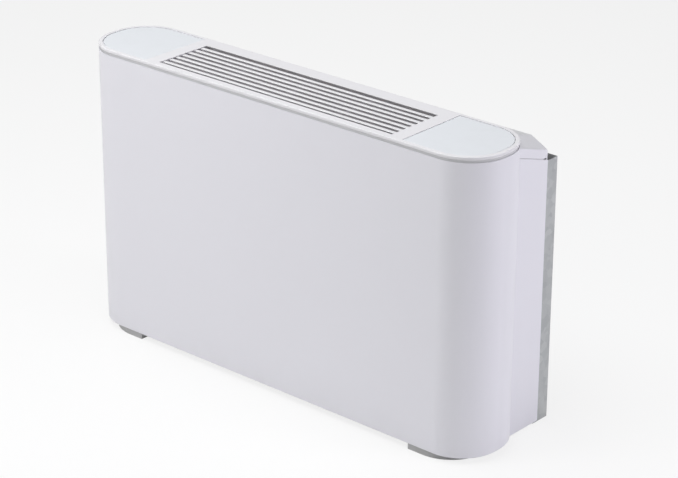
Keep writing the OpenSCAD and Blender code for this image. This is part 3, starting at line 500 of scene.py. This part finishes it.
def addStadium(name, inset, low, high, steps=None):  # a slab with the casing's plan, moved in by inset
    c = casing
    slab = addBlock(name, (-c["x"] + inset, c["front"] + inset, low),
                    (c["x"] - inset, c["back"] - inset, high))
    roundUprights(slab, c["radius"] - inset, steps or c["endSteps"])
    return slab


def outlineGap(co):  # distance of a point from the casing's outline, in mm
    c = casing
    x, y = abs(co.x) / mm, abs(co.y / mm - middleY)
    dx, dy = x - (c["x"] - c["radius"]), y - (halfDeep - c["radius"])
    outside = math.hypot(max(dx, 0), max(dy, 0))
    return outside + min(max(dx, dy), 0) - c["radius"]


def makeFrontPanel():
    c = casing
    panel = addStadium("frontPanel", 0, c["foot"], c["sheetTop"])
    pick(panel, "FACE", lambda f: f.normal.z < -0.9)
    bpy.ops.mesh.inset(thickness=c["returnFold"] * mm, use_even_offset=True)
    bpy.ops.mesh.delete(type="FACE")
    deleteFaces(panel, lambda f: f.normal.z > 0.9)
    pick(panel, "EDGE", fold(60))
    roundPicked(c["foldRadius"], 4)
    for side in (-1, 1):
        sliceAt(panel, (side * c["lipX"], 0, 0), (1, 0, 0))
    deleteFaces(panel, lambda f: f.calc_center_median().y > 0
                and abs(f.calc_center_median().x) < c["lipX"] * mm)
    applyMod(panel, "SOLIDIFY", thickness=c["sheet"] * mm, offset=-1, use_even_offset=True)
    soften(panel, c["burr"], angle=60)
    smoothOff(panel)
    return dress(panel, whitePaint, "cabinet", "white_sheet", "front_panel")


makeFrontPanel()
print("front sheet folded")


# top cover, lids and outlet

cover = {"low": 483, "top": 490, "edge": 1.5, "skirtLow": 470, "skirtInset": 1.5, "skirt": 2, "rim": 6.5,
         "ledge": 5, "ledgeZ": 486.7, "wellX": 260, "hingeRoom": 8, "fieldX": 236, "fieldFront": -100.5,
         "fieldBack": 5.1, "lip": 0.8, "recess": 7, "fieldWall": 2.5, "skin": 3, "burr": 0.3}
lid = {"inset": 7.6, "hingeX": 263, "hingeZ": 487.1, "hingeR": 2.5, "low": 487.0, "top": 489.6, "pinR": 1.5,
       "pinOut": 3.5, "pinPlay": 0.1, "pinEndPlay": 0.3, "barrel": 131.4, "ribInset": 12.5, "ribDrop": 2,
       "ribLap": 0.6, "ribThick": 1.6, "ribX": 271, "startX": 260.9, "edge": 0.9, "burr": 0.25}
pinLong = lid["barrel"] + 2 * lid["pinOut"]


def endBlock(name, inset, startX, low, high):  # the right-hand round end from startX on
    c = casing
    slab = addBlock(name, (startX, c["front"] + inset, low), (c["x"] - inset, c["back"] - inset, high))
    roundUprights(slab, c["radius"] - inset, c["endSteps"], lambda e: e.verts[0].co.x > (startX + past) * mm)
    return slab


def undercut(name, low, high, outer):  # a recess whose roof falls away from the slots
    recess = addBlock(name, low, high)
    pick(recess, "VERT", lambda p: p.co.z > (high[2] - 0.1) * mm and outer(p))
    bpy.ops.transform.translate(value=(0, 0, -cover["recess"] / 2 * mm))
    dropPick()
    return recess


def makeCoverSlab():
    v = cover
    brow = v["low"] + v["skirtInset"]  # where the rim's under-chamfer meets the skirt
    slab = addStadium("topCover", 0, brow, v["top"])
    pick(slab, "EDGE", edgeAt(v["top"]))
    roundPicked(v["edge"], 4)
    pick(slab, "EDGE", edgeAt(brow))
    roundPicked(v["skirtInset"], 1)
    pick(slab, "FACE", lambda f: f.normal.z < -0.99)
    bpy.ops.mesh.extrude_region_move(TRANSFORM_OT_translate={"value": (0, 0, (v["skirtLow"] - brow) * mm)})
    dropPick()
    combine(slab, addStadium("skirtRoom", v["skirtInset"] + v["skirt"], v["skirtLow"] - past, v["low"]))
    return slab


def cutLidWells(slab, deep, high):
    v = cover
    slotY = halfDeep - v["rim"]
    for side in (1, -1):
        cuts = [endBlock("well", v["rim"], v["wellX"], v["ledgeZ"], high),
                endBlock("drop", v["rim"] + v["ledge"], v["wellX"], deep, high),
                addBlock("hingeSlot", (v["wellX"], middleY - slotY, deep),
                         (v["wellX"] + v["hingeRoom"], middleY + slotY, high)),
                addRod("pinBore", (lid["hingeX"], middleY, lid["hingeZ"]), lid["pinR"] + lid["pinPlay"],
                       pinLong + 2 * lid["pinEndPlay"], "Y", 24)]
        for cut in cuts:
            if side < 0:
                flipSide(cut)
            combine(slab, cut)


def cutOutletField(slab, deep, high):
    v = cover
    x, front, back, lipZ = v["fieldX"], v["fieldFront"], v["fieldBack"], v["top"] - v["lip"]
    combine(slab, addBlock("field", (-x, front, deep), (x, back, high)))
    combine(slab, undercut("rearRecess", (-x, back - 0.1, deep), (x, back + v["recess"], lipZ),
                           lambda p: p.co.y > (back + 1) * mm))
    for side in (1, -1):
        recess = undercut("endRecess", (x - 0.1, front, deep), (x + v["recess"], back, lipZ),
                          lambda p: p.co.x > (x + 1) * mm)
        if side < 0:
            flipSide(recess)
        combine(slab, recess)
    wall, ledge = v["fieldWall"], v["recess"] + v["fieldWall"]
    hollow = addBlock("hollow", (-v["wellX"] + wall, casing["front"] + v["rim"], v["low"] - 1),
                      (v["wellX"] - wall, casing["back"] - v["rim"], v["top"] - v["skin"]))
    combine(hollow, addBlock("kept", (-x - ledge, front - wall, deep), (x + ledge, back + ledge, high)))
    combine(slab, hollow)


def makeTopCover():
    v = cover
    slab = makeCoverSlab()
    deep, high = v["skirtLow"] - past, v["top"] + past
    cutLidWells(slab, deep, high)
    cutOutletField(slab, deep, high)
    soften(slab, v["burr"], angle=50)
    smoothOff(slab)
    dress(slab, coverWhite, "cabinet", "white_cover", "top_cover")
    slab.data.materials.append(gapPaintedShadow)
    spots = [vertex.co for vertex in slab.data.vertices]
    for face in slab.data.polygons:  # the skirt under the rim, painted darker grey as painted shadow for the gap
        if all(abs(outlineGap(spots[i]) + v["skirtInset"]) < near for i in face.vertices):
            face.material_index = 1
    return slab


def makeLid():
    v = lid
    plate = endBlock("rightLid", v["inset"], v["startX"], v["low"], v["top"])
    pick(plate, "EDGE", edgeAt(v["top"]))
    roundPicked(v["edge"], 3)
    hinge = (v["hingeX"], middleY, v["hingeZ"])
    combine(plate, addRod("barrel", hinge, v["hingeR"], v["barrel"], "Y", 32), "UNION")
    combine(plate, addRod("pin", hinge, v["pinR"], pinLong, "Y", 24), "UNION")
    rib = endBlock("rib", v["ribInset"], v["ribX"], v["low"] - v["ribDrop"], v["low"] + v["ribLap"])
    combine(rib, endBlock("ribRoom", v["ribInset"] + v["ribThick"], v["ribX"] + v["ribThick"],
                          v["low"] - v["ribDrop"] - past, v["low"] + past))
    combine(plate, rib, "UNION")
    soften(plate, v["burr"], angle=50)
    smoothOff(plate)
    return plate


outlet = {"slats": 7, "slatX": 235.5, "slatWide": 6.8, "pitch": 14.05, "top": 488.8, "lip": 0.6, "web": 2.0,
          "deep": 8.3, "slatEdge": 0.45, "firstY": -89.85, "frameLow": 480.5, "frameTop": 483,
          "frameEdge": 0.4, "hold": 4, "ribs": 3, "ribWide": 2, "ribEdge": 0.3}


def makeOutlet():
    v, f = outlet, cover
    half = v["slatWide"] / 2
    neck = v["top"] - v["lip"] - (v["slatWide"] - v["web"]) / 2
    slat = addBlock("outletGrille", (-v["slatX"], v["firstY"] - half, v["top"] - v["deep"]),
                    (v["slatX"], v["firstY"] + half, v["top"]))
    for z in (v["top"] - v["lip"], neck):
        sliceAt(slat, (0, 0, z), (0, 0, 1))
    pick(slat, "VERT", lambda p: p.co.z < (neck + 0.1) * mm)
    bpy.ops.transform.resize(value=(1, v["web"] / v["slatWide"], 1),
                             center_override=(0, v["firstY"] * mm, 0))
    pick(slat, "EDGE", edgeAt(v["top"]))
    roundPicked(v["slatEdge"], 3)
    applyMod(slat, "ARRAY", count=v["slats"], use_relative_offset=False, use_constant_offset=True,
             constant_offset_displace=(0, v["pitch"] * mm, 0))
    out, back = f["recess"] + f["fieldWall"], f["fieldBack"] + f["recess"]
    ring = addBlock("ring", (-f["fieldX"] - out, f["fieldFront"] - f["fieldWall"], v["frameLow"]),
                    (f["fieldX"] + out, back + f["fieldWall"], v["frameTop"]))
    combine(ring, addBlock("ringRoom", (-v["slatX"] + v["hold"], f["fieldFront"], v["frameLow"] - past),
                           (v["slatX"] - v["hold"], back, v["frameTop"] + past)))
    soften(ring, v["frameEdge"])
    bars = []
    for i in range(1, v["ribs"] + 1):
        x = -f["fieldX"] + i * 2 * f["fieldX"] / (v["ribs"] + 1)
        bar = addBlock("bar", (x - v["ribWide"] / 2, f["fieldFront"] - 1, v["frameLow"]),
                       (x + v["ribWide"] / 2, back + 1, v["frameTop"]))
        soften(bar, v["ribEdge"], 1)
        bars.append(bar)
    joinUp(slat, [ring] + bars)
    smoothOff(slat)
    return dress(slat, coverWhite, "cabinet", "white_cover", "outlet_grille")


makeTopCover()
rightLid = makeLid()
leftLid = twin(rightLid, "leftLid")
flipSide(leftLid)
smoothOff(leftLid)
dress(rightLid, lidWhite, "right_lid_body", "white_cover", "right_lid")
dress(leftLid, lidWhite, "left_lid_body", "white_cover", "left_lid")
makeOutlet()
print("cover, lids and outlet made")


# rear hood: one folded sheet scribed to the casing

hood = {"x": 378, "start": -40, "rear": 87, "topAtBack": 484, "slope": 17.5, "chamfer": 18, "flange": 16,
        "seam": 0.5, "sheet": 1.5, "scribe": 0.4, "foldRadius": 2.2, "burr": 0.25, "notch": (22, 2.7),
        "notchIn": 4, "room": (300, 600), "roomSteps": 64}


def hoodZ(y):
    return hood["topAtBack"] - math.tan(math.radians(hood["slope"])) * (y - casing["back"])


def seamZ(y):
    return hoodZ(y) - hood["chamfer"] - hood["flange"]


def makeRearHood():
    h = hood
    form = addBlock("rearHood", (-h["x"], h["start"], 0), (h["x"], h["rear"], 1))
    for y in (h["start"], h["rear"]):
        for z, goal in ((0, seamZ(y) + h["seam"]), (1, hoodZ(y))):
            pick(form, "VERT", lambda p: abs(p.co.y / mm - y) < 0.01 and abs(p.co.z / mm - z) < 0.01)
            bpy.ops.transform.translate(value=(0, 0, (goal - z) * mm))
    dropPick()
    pick(form, "EDGE", lambda e: len([f for f in e.link_faces if f.normal.z > 0.5]) == 1
         and (e.verts[0].co.y + e.verts[1].co.y) / 2 > (h["start"] + 1) * mm)
    roundPicked(h["chamfer"], 1)
    pick(form, "EDGE", lambda e: fold(12)(e) and not any(
        f.normal.z < -0.5 or f.normal.y < -0.9 for f in e.link_faces))
    roundPicked(h["foldRadius"], 4)
    combine(form, addStadium("casingRoom", -h["scribe"], *h["room"], h["roomSteps"]))
    deleteFaces(form, lambda f: f.normal.z < -0.5 or all(
        abs(outlineGap(v.co) - h["scribe"]) < near for v in f.verts))
    applyMod(form, "SOLIDIFY", thickness=h["sheet"] * mm, offset=-1, use_even_offset=True)
    y = h["rear"] - h["notchIn"]
    for side in (-1, 1):
        x = side * h["x"]
        combine(form, addBlock("notch", (x - past, y - h["notch"][0], seamZ(y) - past),
                               (x + past, y, seamZ(y) + h["seam"] + h["notch"][1])))
    soften(form, h["burr"], angle=60)
    smoothOff(form)
    dress(form, hoodPaintedShade, "cabinet", "hood_sheet", "rear_hood")
    form.data.materials.append(whitePaint)
    for face in form.data.polygons:  # the side flanges keep the sides' white; the top and chamfers stay greyer as painted shade
        if abs(face.normal.x) > 0.9:
            face.material_index = 1
    return form


makeRearHood()
print("hood folded")


# sheets and mouldings that keep the CAD's shape, with their edges eased

def easeNode(node, name, material, body, slot, width, steps=2, angle=40):
    piece = bpy.data.objects.new(name, cad[node].data.copy())
    piece.data.name = name
    bpy.context.scene.collection.objects.link(piece)
    pick(piece, "FACE", lambda f: True)
    bpy.ops.mesh.remove_doubles(threshold=0.002 * mm)
    bpy.ops.mesh.dissolve_limited(angle_limit=math.radians(1))
    dropPick()
    soften(piece, width, steps, angle)
    smoothOff(piece)
    return dress(piece, material, body, slot, node)


eased = {  # node: piece, finish, body, slot, edge in mm
    "left_rear_side": ("leftRearSide", whitePaint, "cabinet", "white_sheet", 0.3),
    "right_rear_side": ("rightRearSide", whitePaint, "cabinet", "white_sheet", 0.3),
    "back_plate": ("backPlate", zincSkin, "cabinet", "galvanised", 0.6),
    "left_foot": ("leftFoot", footPlastic, "cabinet", "foot_plastic", 0.7),
    "right_foot": ("rightFoot", footPlastic, "cabinet", "foot_plastic", 0.7),
    "cable_grommet": ("cableGrommet", rubberBlack, "cabinet", "rubber", 0.6),
    "filter_frame": ("filterFrame", filterPlastic, "filter", "filter_frame", 0.6),
    "filter_rails": ("filterRails", zincSkin, "cabinet", "galvanised", 0.25),
    "electric_box": ("electricBox", zincSkin, "cabinet", "galvanised", 0.4),
    "box_bracket": ("boxBracket", zincSkin, "cabinet", "galvanised", 0.4),
    "terminal_block": ("terminalBlock", terminalPlastic, "cabinet", "terminal", 0.4),
    "control_plate": ("controlPlate", controlPlastic, "cabinet", "control", 0.5),
    "thermostat_knob": ("thermostatKnob", knobPlastic, "thermostat", "knob", 0.5),
    "speed_knob": ("speedKnob", knobPlastic, "speed_selector", "knob", 0.5),
    "season_switch": ("seasonSwitch", switchPlastic, "season_rocker", "switch", 0.5),
    "drain_spout": ("drainSpout", panPlastic, "cabinet", "dark_pan", 0.5),
    "capacitor": ("capacitorCan", steelBright, "cabinet", "steel", 0.8),
    "motor": ("motorCan", motorPaint, "cabinet", "motor_can", 1.2),
}
for node, (name, material, body, slot, width) in eased.items():
    easeNode(node, name, material, body, slot, width)
print("edges eased on", len(eased), "nodes")


# screws with a cross recess

screw = {"dome": 0.5, "slotLong": 1.25, "slotWide": 0.28, "slotDeep": 0.5,  # shares of the head's size
         "slotTaper": 0.72, "lap": 0.3, "burr": 0.12, "firstTurn": 25, "nextTurn": 70}
hoodScrew = {"name": "hoodScrews", "node": "hood_screws", "headR": 4, "headH": 2.4, "shankR": 2, "shank": 8,
             "spots": [(x, hood["rear"], seamZ(hood["rear"]) + hood["flange"] / 2)
                       for x in (-226.5, 0, 226.5)], "turn": -90}
casingScrew = {"name": "casingScrews", "node": "casing_screws", "headR": 3, "headH": 2.5, "shankR": 1.6,
               "shank": 9.2, "spots": [(x, -100.5, 7) for x in (-332, -304, 304, 332)], "turn": 180}


def makeScrews(kind):
    r, h = kind["headR"], kind["headH"]
    head = addRod(kind["name"], (0, 0, h / 2), r, h, "Z", 32)
    pick(head, "EDGE", edgeAt(h))
    roundPicked(h * screw["dome"], 4)
    combine(head, addRod("shank", (0, 0, -kind["shank"] / 2), kind["shankR"],
                         kind["shank"] + 2 * screw["lap"], "Z", 20), "UNION")
    long, wide, deep = r * screw["slotLong"] / 2, r * screw["slotWide"] / 2, h * screw["slotDeep"]
    for x, y in ((long, wide), (wide, long)):
        slot = addBlock("slot", (-x, -y, h - deep), (x, y, h + 1))
        pick(slot, "VERT", lambda v: v.co.z < h * mm)
        bpy.ops.transform.resize(value=(screw["slotTaper"], screw["slotTaper"], 1), center_override=(0, 0, 0))
        combine(head, slot)
    soften(head, screw["burr"], angle=50)
    smoothOff(head)
    copies = []
    for i, spot in enumerate(kind["spots"]):
        copy = twin(head, kind["name"] + str(i))
        placeAt(copy, (0, 0, 0), (0, 0, screw["firstTurn"] + screw["nextTurn"] * i))
        placeAt(copy, spot, (kind["turn"], 0, 0))
        copies.append(copy)
    bpy.data.objects.remove(head, do_unlink=True)
    joinUp(copies[0], copies[1:])
    copies[0].name = copies[0].data.name = kind["name"]
    return dress(copies[0], steelBright, "cabinet", "steel", kind["node"])


makeScrews(hoodScrew)
makeScrews(casingScrew)
print("screws driven")


# filter mesh: threads at right angles in the frame's three windows

mesh = {"windows": 3, "wide": 497, "bar": 6, "front": -73, "back": 60, "z": 5.1, "thread": 0.7,
        "roundOff": 0.28, "pitch": 2.6, "hold": 1.0}


def addThreads(name, low, high, step, count):
    thread = addBlock(name, low, high)
    pick(thread, "EDGE", lambda e: e.calc_length() > 2 * mesh["thread"] * mm)
    roundPicked(mesh["thread"] * mesh["roundOff"], 1)
    applyMod(thread, "ARRAY", count=count, use_relative_offset=False, use_constant_offset=True,
             constant_offset_displace=[v * mm for v in step])
    return thread


def makeFilterMesh():
    v = mesh
    half, hold, pitch = v["thread"] / 2, v["hold"], v["pitch"]
    cell = (v["wide"] - (v["windows"] - 1) * v["bar"]) / v["windows"]
    across, along = int((v["back"] - v["front"]) / pitch), int(cell / pitch)
    y0 = (v["front"] + v["back"] - (across - 1) * pitch) / 2
    parts = []
    for i in range(v["windows"]):
        x = -v["wide"] / 2 + i * (cell + v["bar"])
        x0 = x + (cell - (along - 1) * pitch) / 2
        parts.append(addThreads("weft", (x - hold, y0 - half, v["z"] - half),
                                (x + cell + hold, y0 + half, v["z"] + half), (0, pitch, 0), across))
        parts.append(addThreads("warp", (x0 - half, v["front"] - hold, v["z"]),
                                (x0 + half, v["back"] + hold, v["z"] + 2 * half), (pitch, 0, 0), along))
    joinUp(parts[0], parts[1:])
    parts[0].name = parts[0].data.name = "filterMesh"
    smoothOff(parts[0])
    return dress(parts[0], meshThread, "filter", "filter_mesh", "filter_media")


makeFilterMesh()
print("filter woven")


# dial print on the control plate, and lines let into the knobs

dials = {"plateZ": 455, "ink": 0.06, "textSize": 3.6, "tickLong": 2.2, "tickWide": 0.5, "roundOff": 0.9}
thermostatDial = {"at": (310, -64), "tickR": 18.2, "textR": 22.8, "start": 225, "step": 54,
                  "figures": "123456", "line": "thermostatLine", "body": "thermostat", "knobR": 17}
speedDial = {"at": (310, -16), "tickR": 15.2, "textR": 19.8, "start": 90, "step": 40,
             "figures": "0123", "line": "speedLine", "body": "speed_selector", "knobR": 14}
knobLine = {"z": 470.1, "wide": 0.8, "deep": 0.3, "proud": 0.05, "fromMiddle": 2.6, "fromRim": 4.2}


def addTick(at, radius, angle):
    long, wide = dials["tickLong"] / 2, dials["tickWide"] / 2
    tick = addBlock("tick", (-long, -wide, 0), (long, wide, dials["ink"]))
    pick(tick, "EDGE", upright)
    roundPicked(wide * dials["roundOff"], 3)
    turn = math.radians(angle)
    r = radius + long
    placeAt(tick, (at[0] + r * math.cos(turn), at[1] + r * math.sin(turn), dials["plateZ"]), (0, 0, angle))
    return tick


def addFigure(at, radius, angle, text):
    dropPick()
    bpy.ops.object.text_add()
    figure = bpy.context.object
    figure.data.body = text
    figure.data.size = dials["textSize"] * mm
    figure.data.align_x, figure.data.align_y = "CENTER", "CENTER"
    figure.data.extrude = dials["ink"] / 2 * mm
    figure.data.resolution_u = 4
    bpy.ops.object.convert(target="MESH")
    figure = bpy.context.object
    turn = math.radians(angle)
    placeAt(figure, (at[0] + radius * math.cos(turn), at[1] + radius * math.sin(turn),
                     dials["plateZ"] + dials["ink"] / 2))
    return figure


def makeDialPrint():
    parts = []
    for dial in (thermostatDial, speedDial):
        for i, text in enumerate(dial["figures"]):
            angle = dial["start"] - dial["step"] * i
            parts.append(addTick(dial["at"], dial["tickR"], angle))
            parts.append(addFigure(dial["at"], dial["textR"], angle, text))
    joinUp(parts[0], parts[1:])
    parts[0].name = parts[0].data.name = "dialPrint"
    return dress(parts[0], printInk, "cabinet", "control")


def makeKnobLine(dial):
    v = knobLine
    half = v["wide"] / 2
    x, y = dial["at"]
    line = addBlock(dial["line"], (x - half, y + v["fromMiddle"], v["z"] - v["deep"]),
                    (x + half, y + dial["knobR"] - v["fromRim"], v["z"] + v["proud"]))
    pick(line, "EDGE", upright)
    roundPicked(half * dials["roundOff"], 4)
    return dress(line, switchPlastic, dial["body"], "switch")


makeDialPrint()
makeKnobLine(thermostatDial)
makeKnobLine(speedDial)
print("dials printed")


# CAD nodes that keep their shape get a finish

nodeFinish = {
    zincSkin: ("left_end_plate", "right_end_plate", "fan_deck", "motor_cradle", "coil_end_sheets"),
    fanPlastic: ("left_scroll", "right_scroll", "left_impeller", "right_impeller"),
    steelBright: ("motor_bearings", "motor_shaft"),
    rubberBlack: ("motor_mounts",),
    panPlastic: ("drain_pan",),
    finAluminium: ("coil_fins",),
    copperTube: ("coil_tubes", "return_bends", "supply_header", "return_header"),
    brassFitting: ("air_vents",),
}
for material, names in nodeFinish.items():
    for name in names:
        cad[name].data.materials.clear()
        cad[name].data.materials.append(material)
print("CAD nodes finished")


# floor, light and world

studio = {"floor": 14, "floorTone": (0.80, 0.80, 0.80, 1), "floorWhite": 0.80, "world": 0.18,
          "lamps": {  # spot, aim, size, watts, colour
              "above": ((-0.3, -0.6, 2.9), (0, 0, 0.3), 2.6, 66, (0.985, 1.0, 1.0)),
              "front": ((-0.7, -1.55, 1.15), (-0.35, -0.1, 0.28), 1.0, 9.8, (1.0, 0.99, 0.99)),
              "rightBack": ((2.25, 0.72, 0.8), (0.35, 0, 0.25), 0.9, 21, (0.94, 0.92, 1.0))}}


def makeFloor():
    dropPick()
    bpy.ops.mesh.primitive_plane_add(size=studio["floor"])
    floor = settle("floor")
    material, tree, shader = startFinish("floorPale", Roughness=0.9, Base_Color=studio["floorTone"])
    shader.inputs["Specular IOR Level"].default_value = 0.1
    floor.data.materials.append(material)
    white = addNode(tree, "Emission", {"Strength": 1.0})
    rays = addNode(tree, "LightPath")
    direct = addNode(tree, "Math", operation="MAXIMUM")
    amount = addNode(tree, "Math", {1: studio["floorWhite"]}, operation="MULTIPLY")
    mix = addNode(tree, "MixShader")
    output = tree.nodes["Material Output"]
    wire(tree, (rays.outputs["Is Camera Ray"], direct.inputs[0]),
         (rays.outputs["Is Glossy Ray"], direct.inputs[1]),
         (direct.outputs[0], amount.inputs[0]), (amount.outputs[0], mix.inputs[0]),
         (shader.outputs[0], mix.inputs[1]), (white.outputs[0], mix.inputs[2]),
         (mix.outputs[0], output.inputs[0]))


def hangLamps():
    for name, (spot, aim, size, power, color) in studio["lamps"].items():
        lamp = bpy.data.lights.new(name, "AREA")
        lamp.shape = "DISK"
        lamp.size, lamp.energy, lamp.color = size, power, color
        holder = bpy.data.objects.new(name, lamp)
        holder.location = spot
        holder.rotation_euler = (Vector(aim) - Vector(spot)).to_track_quat("-Z", "Y").to_euler()
        bpy.context.scene.collection.objects.link(holder)


def makeWorld():
    world = bpy.data.worlds.new("studio")
    bpy.context.scene.world = world
    world.use_nodes = True
    tree = world.node_tree
    sky = tree.nodes["Background"]
    sky.inputs["Color"].default_value = (1, 1, 1, 1)
    rays = addNode(tree, "LightPath")
    direct = addNode(tree, "Math", operation="MAXIMUM")
    level = addNode(tree, "MapRange", {"To Min": studio["world"], "To Max": 1.0})
    wire(tree, (rays.outputs["Is Camera Ray"], direct.inputs[0]),
         (rays.outputs["Is Transmission Ray"], direct.inputs[1]),
         (direct.outputs[0], level.inputs["Value"]), (level.outputs["Result"], sky.inputs["Strength"]))


makeFloor()
hangLamps()
makeWorld()
bpy.context.scene.view_settings.view_transform = "Standard"
print("studio lit")
